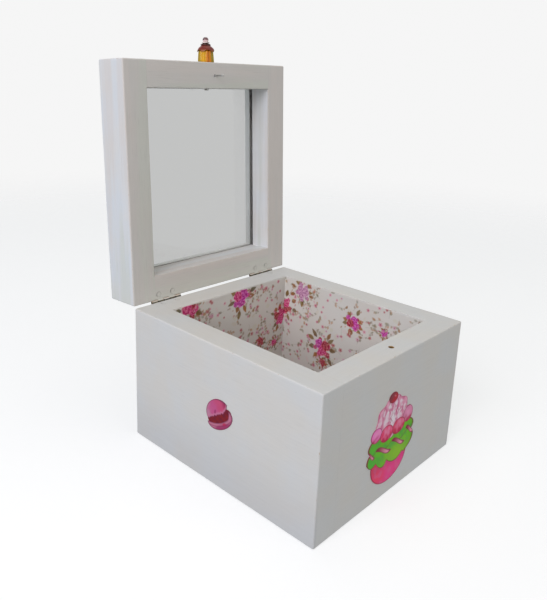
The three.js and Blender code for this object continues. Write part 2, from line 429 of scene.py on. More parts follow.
def lid_colour(shader, place, clouds):
    """Cooler outside, warm underneath, painted light on the inside faces, and painted shade with some dirt
    in the groove.
    """
    x, y, z = shader.parts(place)
    above = z - LID_BASE
    into_wood = beyond_opening(x, y)
    colour = shader.mix(clouds.fade(0.3, 0.7), LID_WARM, LID_COOL)
    colour = shader.mix(above.fade(1.2, 0.3) * 0.8, colour, UNDER_LID)
    # painted light: the inside faces are lightened, most where they stand behind the pane, as if lit from
    # behind
    facing_in = into_wood.fade(0.3, 0.15) * above.fade(0.8, 1.6)
    backlit_behind_pane = z.fade(PANE_HIGH - 0.4, PANE_HIGH + 0.6)
    colour = shader.mix(facing_in * (0.25 + 0.7 * backlit_behind_pane), colour, INSIDE_FACE_LIGHT)
    # painted shade, partly dirt: the groove is painted near black, broken in places
    in_groove = into_wood.fade(0.12, 0.3) * into_wood.fade(4.2, 3.4)
    groove_floor = PANE_LOW - PANE_GAP
    shade_and_dirt = in_groove * z.fade(groove_floor - 0.4, groove_floor - 0.1) * z.fade(PANE_HIGH + 0.3, PANE_HIGH)
    gaps = shader.noise(place, 0.35, detail=3).fade(0.36, 0.46)
    return shader.mix(shade_and_dirt * (0.5 + 0.5 * gaps), colour, GROOVE_SHADE_AND_DIRT)


def brushed_paint(name, along, closed_lid=False, patchy=0.0, grain=0.5, wear=None):
    """Paint brushed along X or Y. patchy adds pink and green patches, grain shows the wood's lines.
    wear(shader, place, colour) gives the colour where the paint has been damaged."""
    shader = Shader(name)
    place = shader.place(closed_lid)
    x, y, z = shader.parts(place)
    low, high = (LID_BASE, LID_TOP) if closed_lid else (0, RIM)
    lengthwise = {"X": (0.05, 1, 1), "Y": (1, 0.05, 1)}[along]
    brushing = shader.stretched(place, lengthwise)
    clouds = shader.noise(place, 0.035, detail=3)
    streaks = shader.noise(brushing, 0.75, detail=4, roughness=0.6)
    lines = shader.noise(brushing, 1.6, detail=2, roughness=0.4, distortion=0.3)
    thin = shader.noise(place, 0.028, detail=2).fade(0.45, 0.7)
    wood = lines.fade(0.55, 0.72) * (0.3 + 0.7 * thin) * grain
    hue = shader.noise(brushing, 0.09, detail=2)
    base = lid_colour if closed_lid else case_colour
    colour = base(shader, place, clouds)
    colour = shader.mix(hue.fade(0.5, 0.66) * patchy, colour, PAINT_PINK)
    colour = shader.mix(hue.fade(0.5, 0.34) * patchy, colour, PAINT_GREEN)
    shade = 0.94 + clouds * 0.05 + streaks * 0.09 - wood * 0.09
    colour = shader.mix(1.0, colour, shader.grey(shade), "MULTIPLY")
    edge = edge_distance(x, y, z, low, high)
    rubbed = shader.noise(place, 0.45, detail=4, roughness=0.65)
    worn = (edge + rubbed * 2.2).fade(1.35, 0.9)
    colour = shader.mix(worn * 0.55, colour, RAW_WOOD)
    seam = seam_mask(x, y, place, shader)
    colour = shader.mix(seam * 0.07, colour, SEAM_DIRT)
    specks = shader.noise(place, 0.9, detail=1).fade(0.79, 0.83)
    colour = shader.mix(specks * 0.25, colour, SEAM_DIRT)
    if wear:
        colour = wear(shader, place, colour)
    relief = streaks * 0.7 + lines * 0.3 - worn * 0.5 - seam * 0.3
    return shader.surface({
        "Base Color": colour,
        "Roughness": 0.44 + streaks * 0.18 + clouds * 0.06,
        "Specular IOR Level": 0.4,
        "Normal": shader.bump(relief, 0.09, strength=0.5),
    })


# %% [markdown]
# The catch hole was drilled after painting, so its wall is bare wood and the paint is chipped in a
# small ragged ring round its mouth.


# %% Bare wood round the catch hole
hole_low, hole_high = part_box("catch_pin")
pin_middle = SHUT @ ((hole_low + hole_high) / 2)
CATCH_X = pin_middle.x / mm
CATCH_Y = pin_middle.y / mm
HOLE_RADIUS = 1.7
BORE_WOOD = tint(112, 88, 50)


def bare_round_hole(shader, place, colour):
    x, y, z = shader.parts(place)
    reach = ((x - CATCH_X) ** 2 + (y - CATCH_Y) ** 2) ** 0.5
    ragged = shader.noise(place, 0.8, detail=3) * 0.5
    chipped = (reach - ragged).fade(HOLE_RADIUS + 0.05, HOLE_RADIUS - 0.25)
    bore = (z - RIM).fade(-0.4, -0.7) * reach.fade(HOLE_RADIUS + 0.3, HOLE_RADIUS + 0.1)
    colour = shader.mix(chipped, colour, RAW_WOOD)
    return shader.mix(bore, colour, BORE_WOOD)


paints = {
    "side": brushed_paint("case_side_paint", "Y", grain=0.5),
    "front": brushed_paint("rim_front_paint", "X", grain=0.35, wear=bare_round_hole),
    "stile": brushed_paint("lid_stile_paint", "Y", closed_lid=True, patchy=0.5, grain=0.9),
    "rail": brushed_paint("lid_rail_paint", "X", closed_lid=True, patchy=0.5, grain=0.9),
}
print("paints:", ", ".join(paints))

# %% [markdown]
# ## The wooden case and lid frame
#
# Each board is the engineered one with its edges worked: the outside edges of the box are sanded round
# under the paint, the edges of the opening less so, and where two members butt the paint dips into a
# fine groove. Cutting the boards into small squares gives the sanding field points to move.


# %% Which edge of the box is this?
def faces_met(point, low, high):
    """How many outside faces of the box, or of the shut lid, a point lies on."""
    x, y, z = point / mm
    on_side = near(abs(x), HALF_WIDTH)
    on_end = near(abs(y), HALF_DEPTH)
    on_face = near(z, low) or near(z, high)
    return on_side + on_end + on_face


def outside_edge(low, high):
    def chosen(edge):
        return is_sharp(edge) and faces_met(middle(edge), low, high) == 2
    return chosen


def opening_edge(faces):
    def chosen(edge):
        x, y, z = middle(edge) / mm
        beside = near(abs(x), WELL_X) and abs(y) < WELL_Y
        before = near(abs(y), WELL_Y) and abs(x) < WELL_X
        on_face = any(near(z, face) for face in faces)
        return is_sharp(edge) and on_face and (beside or before)
    return chosen


def joint_edge(low, high):
    """The outline of a butt joint where it comes out on a painted face."""
    reach = 1.05

    def chosen(edge):
        x, y, z = middle(edge) / mm
        in_joint = all(near(abs(v.co.x / mm), WELL_X) for v in edge.verts) and abs(y) > WELL_Y + 1
        outside = HALF_DEPTH - abs(y) < reach or z - low < reach or high - z < reach
        return is_sharp(edge) and in_joint and outside
    return chosen


# %% Work one board
OUTSIDE_ROUND = 0.9
OPENING_ROUND = 0.6
JOINT_GROOVE = 0.03
SQUARE = 6  # mm between cuts


def even_cuts(low, high):
    """Places for cuts between two ends, kept clear of the rounded edges."""
    count = max(1, round((high - low) / SQUARE))
    return [low + (high - low) * i / count for i in range(1, count)]


def work_board(piece, low, high, opening_faces):
    spans = [(min(v.co[i] for v in piece.data.vertices), max(v.co[i] for v in piece.data.vertices))
             for i in range(3)]
    if spans[1][1] - spans[1][0] > 2 * WELL_Y * mm:
        slice_piece(piece, 1, (-WELL_Y, WELL_Y))
    round_edges(piece, outside_edge(low, high), OUTSIDE_ROUND, 3)
    round_edges(piece, opening_edge(opening_faces), OPENING_ROUND, 2)
    round_edges(piece, joint_edge(low, high), JOINT_GROOVE, 1)
    for axis, (first, last) in enumerate(spans):
        slice_piece(piece, axis, even_cuts(first / mm, last / mm))
    hand_sanded(piece)


def close_glued_ends(piece, reach=0.35):
    """Moves the ends of a rail out over the hair of clearance at its glued joints."""
    for vertex in piece.data.vertices:
        if 0 < WELL_X - abs(vertex.co.x / mm) < reach:
            vertex.co.x = math.copysign(WELL_X * mm, vertex.co.x)


HAIRLINE = 0.5  # mm left between the pane and the groove's lower wall


def narrow_groove(piece):
    """Brings a rail's lower groove wall up near the pane, so that only a hairline shows."""
    for vertex in piece.data.vertices:
        if near(vertex.co.z / mm, PANE_LOW - PANE_GAP, 0.1):
            vertex.co.z = (PANE_LOW - HAIRLINE) * mm


# %% Make the case boards
for node, paint in (("left_side_board", "side"), ("right_side_board", "side"),
                    ("front_board", "front"), ("back_board", "front")):
    plank = copy_of(node, node + "_painted")
    work_board(plank, 0, RIM, (RIM,))
    hand_over(plank, paints[paint], "case", "case_paint", node, steady=True)

# %% Make the lid frame
for node, paint in (("lid_left_stile", "stile"), ("lid_right_stile", "stile"),
                    ("lid_front_rail", "rail"), ("lid_back_rail", "rail")):
    member = copy_of(node, node + "_painted", closed=True)
    if paint == "rail":
        close_glued_ends(member)
        narrow_groove(member)
    work_board(member, LID_BASE, LID_TOP, (LID_BASE, LID_TOP))
    member.data.transform(OPEN)
    hand_over(member, paints[paint], "lid", "lid_paint", node, steady=True)

# %% [markdown]
# The bottom is a sheet of birch plywood let into a rabbet. Only its face shows, under the box: a
# pale, wide rotary-cut figure with fine pores.


# %% Make the plywood bottom
def plywood():
    shader = Shader("birch_plywood")
    place = shader.place()
    along = shader.stretched(place, (0.08, 1, 1))
    figure = shader.noise(along, 0.09, detail=3, roughness=0.55, distortion=1.2)
    pores = shader.noise(shader.stretched(place, (0.06, 1, 1)), 2.2, detail=2)
    stops = [(0.3, tint(201, 172, 128)), (0.52, tint(188, 154, 108)), (0.7, tint(208, 182, 140))]
    colour = shader.node("ShaderNodeValToRGB", {"stops": stops}, {0: figure})
    colour = shader.mix(pores.fade(0.58, 0.72) * 0.45, colour, tint(146, 108, 68))
    return shader.surface({
        "Base Color": colour,
        "Roughness": 0.62 + pores * 0.15,
        "Normal": shader.bump(pores * 0.6 + figure * 0.4, 0.06, strength=0.5),
    })


bottom = copy_of("bottom_panel", "bottom_panel_plywood")
round_edges(bottom, is_sharp, 0.3, 2)
slice_piece(bottom, 0, even_cuts(-WELL_X, WELL_X))
slice_piece(bottom, 1, even_cuts(-WELL_Y, WELL_Y))
hand_over(bottom, plywood(), "case", "plywood", "bottom_panel", steady=True)

# %% [markdown]
# ## Printing on paper
#
# The lining and the two cut-outs are printed paper. Each sheet is a fine grid, and its picture is
# painted on the grid's points with numpy: a motif finds the points near it, works out how much of
# each it covers, and lays its ink there. The inks end up in a colour attribute that the paper's
# material reads. Every motif is drawn here from ovals, petals and curves.


# %% Ink and shapes
def ease(value, low, high):
    """0 below low, 1 above high, smooth between. Low may be the larger."""
    share = np.clip((value - low) / (high - low), 0, 1)
    return share * share * (3 - 2 * share)


def oval(x, y, middle_x, middle_y, radius_x, radius_y, tilt=0.0):
    """About how far points are outside an oval, in millimetres. Inside it is negative."""
    c, s = math.cos(math.radians(tilt)), math.sin(math.radians(tilt))
    along = (x - middle_x) * c + (y - middle_y) * s
    across = (y - middle_y) * c - (x - middle_x) * s
    return (np.hypot(along / radius_x, across / radius_y) - 1) * min(radius_x, radius_y)


def drift(x, y, size, seed, waves=9):
    """Soft variation from about -1 to 1: a few sine waves in random directions."""
    rng = random.Random(seed)
    total = np.zeros_like(x)
    for _ in range(waves):
        heading = rng.uniform(0, math.tau)
        pace = math.tau / (size * rng.uniform(0.7, 1.8))
        phase = rng.uniform(0, math.tau)
        total += np.sin((x * math.cos(heading) + y * math.sin(heading)) * pace + phase)
    return np.clip(total / math.sqrt(waves), -1, 1)


class Sheet:
    """The points of a printed sheet, in millimetres, and the ink on each."""

    def __init__(self, x, y, ground):
        self.x, self.y = x, y
        self.ink = np.tile(colour_of(*ground), (len(x), 1))

    def points_near(self, x, y, reach):
        close = (abs(self.x - x) < reach) & (abs(self.y - y) < reach)
        return np.nonzero(close)[0]

    def lay(self, points, cover, colour):
        """Lays one colour, or one for each point, over some points."""
        ink = colour_of(*colour) if len(np.shape(colour)) == 1 else colour
        self.ink[points] += (ink - self.ink[points]) * np.clip(cover, 0, 1)[:, None]

    def everywhere(self):
        return np.arange(len(self.x))


def tinged(ink, colour, share):
    """Ink moved towards a screen colour, by a share for each point."""
    return ink + (colour_of(*colour) - ink) * np.clip(share, 0, 1)[:, None]


def blend(first, second, share):
    """Colours between two screen colours, one for each value of share."""
    return tinged(colour_of(*first), second, share)


# %% [markdown]
# A paper sheet is a grid whose outer edge is pushed back by the paper's thickness and closed with one
# big face. Lined paper lies almost flat, with low bubbles where the glue dried unevenly.


# %% Make a sheet of paper
def paper_grid(name, width, height, cell):
    bpy.ops.mesh.primitive_grid_add(
        x_subdivisions=round(width / cell), y_subdivisions=round(height / cell), size=1)
    sheet = bpy.context.object
    sheet.name = name
    with editing(sheet):
        bpy.ops.mesh.select_all(action="SELECT")
        bpy.ops.transform.resize(value=(width * mm, height * mm, 1))
    return sheet


def thicken(sheet, thickness):
    """Pushes the outline back by the paper's thickness and closes the back with one face."""
    with editing(sheet, "EDGE"):
        pick(sheet, "edges", lambda edge: len(edge.link_faces) == 1)
        back = {"value": (0, 0, -thickness * mm)}
        bpy.ops.mesh.extrude_region_move(TRANSFORM_OT_translate=back)
        bpy.ops.mesh.edge_face_add()
        bpy.ops.mesh.select_all(action="SELECT")
        bpy.ops.mesh.normals_make_consistent(inside=False)


def coordinates(sheet):
    flat = np.empty(len(sheet.data.vertices) * 3)
    sheet.data.vertices.foreach_get("co", flat)
    return flat.reshape(-1, 3)


def keep_print(sheet, picture):
    """Stores the ink of each point as the sheet's own colour attribute."""
    colours = np.ones((len(picture.ink), 4))
    colours[:, :3] = np.clip(picture.ink, 0, 1)
    layer = sheet.data.color_attributes.new("Print", "FLOAT_COLOR", "POINT")
    layer.data.foreach_set("color", colours.ravel())


def stand_up(sheet, across, up, place):
    """Turns a flat sheet so that its width and height run along two directions."""
    across, up = Vector(across), Vector(up)
    turn = Matrix((across, up, across.cross(up))).transposed().to_4x4()
    sheet.data.transform(Matrix.Translation(place) @ turn)


# %% [markdown]
# Printed paper is a touch absorbent: the ink sits in the fibres, so it has their fine tooth and a
# soft sheen. The lining is matt. The cut-outs were varnished when they were glued on.


# %% The printed paper finish
def printed_paper(name, roughness, tooth, coat=0.0):
    shader = Shader(name)
    place = shader.place()
    ink = shader.node("ShaderNodeAttribute", {"attribute_name": "Print"}, output="Color")
    fibres = shader.noise(place, 1.7, detail=5, roughness=0.7)
    blotches = shader.noise(place, 0.06, detail=2)
    shade = 0.965 + fibres * 0.04 + blotches * 0.03
    relief = fibres * 0.6 + blotches * 0.4
    return shader.surface({
        "Base Color": shader.mix(1.0, ink, shader.grey(shade), "MULTIPLY"),
        "Roughness": roughness + fibres * 0.12,
        "Specular IOR Level": 0.15,
        "Coat Weight": coat,
        "Coat Roughness": 0.35,
        "Normal": shader.bump(relief, tooth, strength=0.6),
    })


lining_finish = printed_paper("rose_paper", 0.6, 0.05)
cutout_finish = printed_paper("varnished_paper", 0.55, 0.03, coat=0.03)

# %% [markdown]
# ## The rose lining
#
# The print has three things on a warm off-white ground: clusters of two or three full roses with
# brown and olive leaves, loose thin sprigs carrying many small leaves, and tiny pink flowers. A rose
# is rings of petals: each ring is dark in its heart and pale at its rim, with a crease between petals.


# %% Print one rose
def rose(sheet, x, y, radius, deep, light, turn, petals=5):
    points = sheet.points_near(x, y, radius * 1.3)
    dx, dy = sheet.x[points] - x, sheet.y[points] - y
    angle = np.arctan2(dy, dx) + turn
    lobes = 0.86 + 0.14 * abs(np.cos(angle * petals / 2))
    reach = np.hypot(dx, dy) / (radius * lobes)
    cover = ease(reach, 1.05, 0.93)
    shade = np.zeros(len(points))
    for ring, (inner, outer) in enumerate(((0, 0.3), (0.26, 0.62), (0.56, 1.02))):
        inside = (reach >= inner) & (reach < outer)
        rise = (reach - inner) / (outer - inner)
        crease = abs(np.sin(angle * (petals - ring * 0.5) / 2 + ring * 1.1))
        ring_shade = rise ** 1.3 * (0.35 + 0.65 * crease ** 0.5)
        shade = np.where(inside, ring_shade, shade)
    shade += 0.4 * drift(dx, dy, radius * 0.5, int(x * 7 + y * 13))
    sheet.lay(points, cover * 0.94, blend(deep, light, shade))


# %% Print leaves, stems and dots
def leaf(sheet, x, y, length, width, heading, colour, strength=0.85, vein=0.35):
    """A pointed leaf that starts at x, y and runs along its heading in radians."""
    points = sheet.points_near(x, y, length * 1.1)
    c, s = math.cos(heading), math.sin(heading)
    dx, dy = sheet.x[points] - x, sheet.y[points] - y
    along = (dx * c + dy * s) / length
    across = abs(dy * c - dx * s)
    half = width / 2 * np.sin(np.pi * np.clip(along, 0, 1) ** 0.8)
    cover = ease(across - half, 0.25, -0.2) * ((along > 0) & (along < 1))
    dark = np.clip((1 - vein * ease(across, 0.35, 0.05)) * (0.75 + 0.35 * along), 0, 1)
    sheet.lay(points, cover * strength, colour_of(*colour) * dark[:, None])


def dab(sheet, x, y, radius_x, radius_y, tilt, colour, strength=0.8):
    points = sheet.points_near(x, y, max(radius_x, radius_y) * 1.6)
    edge = oval(sheet.x[points], sheet.y[points], x, y, radius_x, radius_y, tilt)
    sheet.lay(points, ease(edge, 0.25, -0.2) * strength, colour)


STEM = (172, 166, 150)
LEAF_BROWNS = ((156, 100, 48), (128, 100, 62), (172, 112, 52))
LEAF_OLIVES = ((136, 114, 66), (112, 104, 78), (152, 120, 62))
SMALL_LEAVES = ((180, 140, 104), (148, 140, 104), (192, 136, 84), (152, 120, 96), (152, 148, 128))
SMALL_PINKS = ((222, 152, 172), (206, 118, 142), (214, 168, 188), (188, 104, 110))


def tiny_flower(sheet, x, y, size, rng):
    colour = rng.choice(SMALL_PINKS)
    start = rng.uniform(0, math.tau)
    for petal in range(5):
        angle = start + petal * math.tau / 5
        reach = size * 0.55
        dab(sheet, x + reach * math.cos(angle), y + reach * math.sin(angle),
            size * 0.55, size * 0.4, math.degrees(angle), colour, 0.7)
    dab(sheet, x, y, size * 0.28, size * 0.28, 0, (150, 80, 70), 0.8)


def sprig(sheet, x, y, heading, length, rng):
    """A thin curving stem with small leaves on both sides and sometimes a flower at its tip."""
    bend = rng.uniform(-0.09, 0.09)
    step = 0.5
    for i in range(int(length / step)):
        dab(sheet, x, y, 0.34, 0.16, math.degrees(heading), STEM, 0.35)
        x += step * math.cos(heading)
        y += step * math.sin(heading)
        heading += bend * step
        if rng.random() < 0.26:
            angle = heading + rng.choice((-1, 1)) * rng.uniform(0.5, 1.1)
            size = rng.uniform(1.6, 3.2)
            leaf(sheet, x, y, size, size * 0.62, angle, rng.choice(SMALL_LEAVES), 0.62, vein=0.1)
    if rng.random() < 0.6:
        tiny_flower(sheet, x, y, rng.uniform(1.0, 1.7), rng)


# %% [markdown]
# A cluster is built from the back forwards, as a painter would: leaves first, then smaller blossoms
# and buds round the edge, then the full roses over them.

# %% Print one cluster of roses
MAGENTA = ((176, 26, 132), (238, 122, 212))
HOT_PINK = ((188, 30, 98), (242, 126, 176))
ROSE_RED = ((142, 26, 48), (222, 112, 122))
MAUVE = ((172, 104, 150), (232, 190, 214))
ROSE_TINTS = (MAGENTA, HOT_PINK, ROSE_RED)


def cluster(sheet, x, y, size, rng, tints=ROSE_TINTS):
    start = rng.uniform(0, math.tau)
    for i in range(9):
        angle = start + i * math.tau / 9 + rng.uniform(-0.35, 0.35)
        tone = rng.choice(LEAF_BROWNS if i % 3 else LEAF_OLIVES)
        reach = size * rng.uniform(0.34, 0.62)
        leaf(sheet, x + reach * math.cos(angle), y + reach * math.sin(angle),
             size * rng.uniform(0.3, 0.46), size * rng.uniform(0.17, 0.24), angle, tone, 0.9)
    for i in range(5):
        angle = start + 0.6 + i * math.tau / 5 + rng.uniform(-0.4, 0.4)
        reach = size * rng.uniform(0.34, 0.46)
        deep, light = rng.choice(tints)
        rose(sheet, x + reach * math.cos(angle), y + reach * math.sin(angle),
             size * rng.uniform(0.11, 0.17), deep, light, angle)
    for i in range(3):
        angle = start + i * math.tau / 3
        reach = size * 0.21
        deep, light = tints[i % len(tints)]
        rose(sheet, x + reach * math.cos(angle), y + reach * math.sin(angle) * 0.9,
             size * rng.uniform(0.23, 0.29), deep, light, rng.uniform(0, 3))
    for _ in range(26):
        angle, reach = rng.uniform(0, math.tau), size * rng.uniform(0.3, 0.95)
        speck = (x + reach * math.cos(angle), y + reach * math.sin(angle))
        tone = rng.choice(LEAF_BROWNS + SMALL_LEAVES + SMALL_PINKS)
        dab(sheet, *speck, rng.uniform(0.5, 1.1), rng.uniform(0.35, 0.6), rng.uniform(0, 180), tone, 0.7)


# %% [markdown]
# A whole sheet is printed from back to front too: a faint second print of pale sprays, then the
# sprigs, the small flowers and last the clusters. Clusters stand on a staggered lattice, except on
# the two walls that show most, where their places are listed one by one.

# %% Print a sheet of the lining
LINING_CELL = 0.4
PAPER_GROUND = (216, 214, 208)
CLUSTER_SPACING = 40
HAND_PLACED = {
    "lining_right": ((-44, 36, 14, (MAUVE, MAUVE)), (6, 25, 13, (MAGENTA, MAGENTA, ROSE_RED)),
                     (-21, -3, 17, (MAGENTA, HOT_PINK, ROSE_RED)), (-20, -16, 7, (ROSE_RED,)),
                     (33, 25, 6, (MAGENTA,)), (-62, 20, 15, (HOT_PINK, ROSE_RED)),
                     (44, -8, 14, ROSE_TINTS), (10, -32, 14, ROSE_TINTS)),
    "lining_back": ((-42, 42, 16, (HOT_PINK, ROSE_RED)), (7, 38, 17, (MAGENTA, MAGENTA, HOT_PINK)),
                    (52, 12, 14, (HOT_PINK, ROSE_RED)), (30, -4, 8, (ROSE_RED,)),
                    (-22, -2, 14, ROSE_TINTS), (46, -10, 7, (HOT_PINK,)),
                    (8, -28, 15, ROSE_TINTS), (-50, -26, 13, ROSE_TINTS)),
}


def lattice(width, height, rng):
    places = []
    rows = round(height / CLUSTER_SPACING) + 1
    for row in range(rows):
        y = (row + 0.5) / rows * height - height / 2
        shift = CLUSTER_SPACING / 2 * (row % 2)
        x = -width / 2 + shift + rng.uniform(0, 12)
        while x < width / 2:
            jitter = (rng.uniform(-5, 5), rng.uniform(-4, 4))
            places.append((x + jitter[0], y + jitter[1], rng.uniform(12, 17), ROSE_TINTS))
            x += CLUSTER_SPACING
    return places


def print_roses(name, x, y, width, height):
    rng = random.Random(name)
    sheet = Sheet(x, y, PAPER_GROUND)
    warmth = drift(x, y, 55, 5) * 0.5 + 0.5
    sheet.lay(sheet.everywhere(), warmth * 0.5, (214, 208, 200))
    area = width * height

    def anywhere():
        return rng.uniform(-width, width) / 2, rng.uniform(-height, height) / 2

    for _ in range(round(area / 190)):
        dab(sheet, *anywhere(), rng.uniform(1.2, 3), rng.uniform(0.8, 1.8), rng.uniform(0, 180),
            rng.choice(((206, 204, 176), (222, 196, 194), (210, 200, 178))), 0.35)
    for _ in range(round(area / 75)):
        sprig(sheet, *anywhere(), rng.uniform(0, math.tau), rng.uniform(6, 14), rng)
    for _ in range(round(area / 130)):
        tiny_flower(sheet, *anywhere(), rng.uniform(0.8, 1.7), rng)
    for cluster_x, cluster_y, size, tints in HAND_PLACED.get(name) or lattice(width, height, rng):
        cluster(sheet, cluster_x, cluster_y, size, rng, tints)
    return sheet


# %% [markdown]
# Each wall sheet was cut by hand, so its top edge wanders a little below the rim.


# %% Line the well
def lining(node, across, up, normal_axis, inward):
    low, high = (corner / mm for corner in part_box(node))
    size = high - low
    width = abs(size.dot(Vector(across)))
    height = abs(size.dot(Vector(up)))
    sheet = paper_grid(node + "_print", width, height, LINING_CELL)
    places = coordinates(sheet)
    flat = places[:, :2] / mm
    away_from_edge = np.minimum(width / 2 - abs(flat[:, 0]), height / 2 - abs(flat[:, 1]))
    bubbles = drift(flat[:, 0], flat[:, 1], 22, len(node)) + 0.4 * drift(*flat.T, 7, 3)
    places[:, 2] = 0.08 * mm * bubbles * ease(away_from_edge, 0, 4)
    if up == (0, 0, 1):
        at_top = ease(flat[:, 1], height / 2 - 3, height / 2)
        places[:, 1] -= at_top * mm * (0.35 + 0.3 * drift(flat[:, 0], 0 * flat[:, 0], 16, 2))
    sheet.data.vertices.foreach_set("co", places.ravel())
    thicken(sheet, 0.4)
    flat = coordinates(sheet)[:, :2] / mm
    keep_print(sheet, print_roses(node, *flat.T, width, height))
    centre = (low + high) / 2
    centre[normal_axis] = (high if inward > 0 else low)[normal_axis] - inward * 0.05
    stand_up(sheet, across, up, centre * mm)
    hand_over(sheet, lining_finish, "case", "floral_paper", node)


lining("lining_floor", (1, 0, 0), (0, 1, 0), 2, 1)
lining("lining_left", (0, 1, 0), (0, 0, 1), 0, 1)
lining("lining_right", (0, -1, 0), (0, 0, 1), 0, -1)
lining("lining_front", (-1, 0, 0), (0, 0, 1), 1, 1)
lining("lining_back", (1, 0, 0), (0, 0, 1), 1, -1)

# %% [markdown]
# ## The paper cut-outs
#
# A cut-out is a fine grid with everything outside its outline deleted and its ragged border drawn onto
# the outline, so the scissor line is smooth. The outline is the edge of a few overlapping ovals, the
# same ones that the picture is built on.


# %% Cut a sheet to its outline
def cut_to(sheet, outline):
    """Deletes the points outside an outline and moves the border points onto it."""
    with editing(sheet, "VERT"):
        flat = coordinates_in_edit(sheet)
        outside = outline(*flat.T) > 0
        pick(sheet, "verts", lambda vertex: outside[vertex.index])
        bpy.ops.mesh.delete(type="VERT")
        pick(sheet, "verts", lambda vertex: len(vertex.link_faces) == 0)
        bpy.ops.mesh.delete(type="VERT")
    mesh = bmesh.new()
    mesh.from_mesh(sheet.data)
    for vertex in [v for v in mesh.verts if v.is_boundary]:
        for _ in range(2):
            x, y = vertex.co.x / mm, vertex.co.y / mm
            around = outline(np.array([x, x + 0.05, x]), np.array([y, y, y + 0.05]))
            slope = (around[1:] - around[0]) / 0.05
            step = around[0] / max(slope @ slope, 0.1)
            vertex.co.x -= step * slope[0] * mm
            vertex.co.y -= step * slope[1] * mm
    mesh.to_mesh(sheet.data)
    mesh.free()


def coordinates_in_edit(sheet):
    mesh = bmesh.from_edit_mesh(sheet.data)
    mesh.verts.ensure_lookup_table()
    return np.array([(v.co.x / mm, v.co.y / mm) for v in mesh.verts])


# %% [markdown]
# ### The cupcake
#
# From the bottom: a pink paper cup, two wavy green layers with pink ribbons between them, a row of
# round pink petals, whipped cream swept up into lobes, and a cherry. It is drawn like a watercolour:
# washes that vary, darker where the paint pooled against the outlines.

# %% Outline of the cupcake
CAKE_MIDDLE = -4.3


def cup_shape(x, z):
    return oval(x, z, CAKE_MIDDLE, 25, 19.4, 15.4)


HEM_X = np.array([-28.6, -23.4, -19, -10.9, -7.1, 2.9, 10.8, 13.5, 22.6])
HEM_Z = np.array([30.5, 26.5, 27.9, 22.1, 25.4, 20.9, 24.2, 22.4, 30.5])


def lower_layer_hem(x):
    """Height of the lower green layer's hem: sharp cusps and round lows by turns."""
    along = np.clip(np.interp(x, HEM_X, range(len(HEM_X))), 0, len(HEM_X) - 1.001)
    step = along.astype(int)
    low, cusp = step | 1, step + step % 2
    return HEM_Z[low] + (HEM_Z[cusp] - HEM_Z[low]) * (along - low) ** 2


def lower_layer(x, z):
    return np.maximum(oval(x, z, -3.2, 31.5, 25.6, 11), lower_layer_hem(x) - z)


def upper_layer(x, z):
    return oval(x, z, -3.2, 40, 25.0, 8.6)


def cream_mound(x, z):
    lumpy = 0.7 * np.sin(np.arctan2(z - 53, x - CAKE_MIDDLE) * 9)
    return oval(x, z, CAKE_MIDDLE, 53.5, 17.2, 13.2) + lumpy


CHERRY_X, CHERRY_Z = -5.1, 66.8


def cherry_shape(x, z):
    return oval(x, z, CHERRY_X, CHERRY_Z, 4.8, 3.4)


PETALS = ((13.8, 49, 5.6, 5.6, (228, 138, 176)), (-20.4, 47.2, 5.6, 4.8, (252, 128, 202)),
          (3.6, 44.6, 7.2, 5.2, (228, 65, 103)), (-9.6, 44.4, 6.8, 5.4, (240, 66, 116)))


def petal_row(x, z):
    return np.minimum.reduce([oval(x, z, *petal[:4]) for petal in PETALS])


def cupcake_outline(x, z):
    shapes = (cup_shape, lower_layer, upper_layer, cream_mound, cherry_shape, petal_row)
    return np.minimum.reduce([shape(x, z) for shape in shapes])


# %% Paint the cup, the layers and the ribbons
OUTLINE = (127, 40, 52)
RIBBONS = ((-25, 35.4, 4.4, 1.4, -24), (-11.5, 33.9, 8.6, 1.7, -16),
           (4.8, 33.5, 7.6, 1.6, -19), (17.6, 36.7, 5.2, 1.6, -24))


def paint_shape(sheet, distance, colour, line=0.5, line_strength=0.8, outline=OUTLINE):
    """Fills a shape and pools a dark line just inside its edge."""
    points = sheet.everywhere()
    sheet.lay(points, ease(distance, 0.15, -0.15), colour)
    inside = ease(distance, 0.2, 0)
    sheet.lay(points, inside * ease(distance, -line - 0.35, -line * 0.4) * line_strength, outline)


def paint_cup(sheet):
    x, z = sheet.x, sheet.y
    wash = drift(x, z, 12, 3)
    sweep = drift(x * 0.5 + z * 0.5, z * 0.3 - x * 0.3, 4, 4)
    left = ease(x - 0.3 * z, -2, -26)
    colour = blend((250, 72, 148), (250, 72, 112), left * 0.8 + 0.25 * wash)
    colour = tinged(colour, (238, 108, 156), 0.5 * ease(sweep, 0.1, 0.8))
    colour *= (1 - 0.2 * ease(z, 17, 25))[:, None]
    paint_shape(sheet, cup_shape(x, z), colour, 0.45, 0.7)


def green_wash(x, z, seed):
    wash = drift(x, z, 10, seed)
    fine = drift(x, z, 3.5, seed + 1)
    colour = blend((116, 200, 30), (90, 178, 62), 0.5 + 0.5 * wash - 0.3 * fine)
    sunny = ease(oval(x, z, 4.8, 25.9, 13, 6), 5, -5)
    colour = tinged(colour, (156, 206, 45), 0.8 * sunny)
    colour = tinged(colour, (80, 196, 50), 0.6 * ease(x, -10, -26))
    return colour * (1 - 0.2 * ease(x, 12, 24))[:, None]


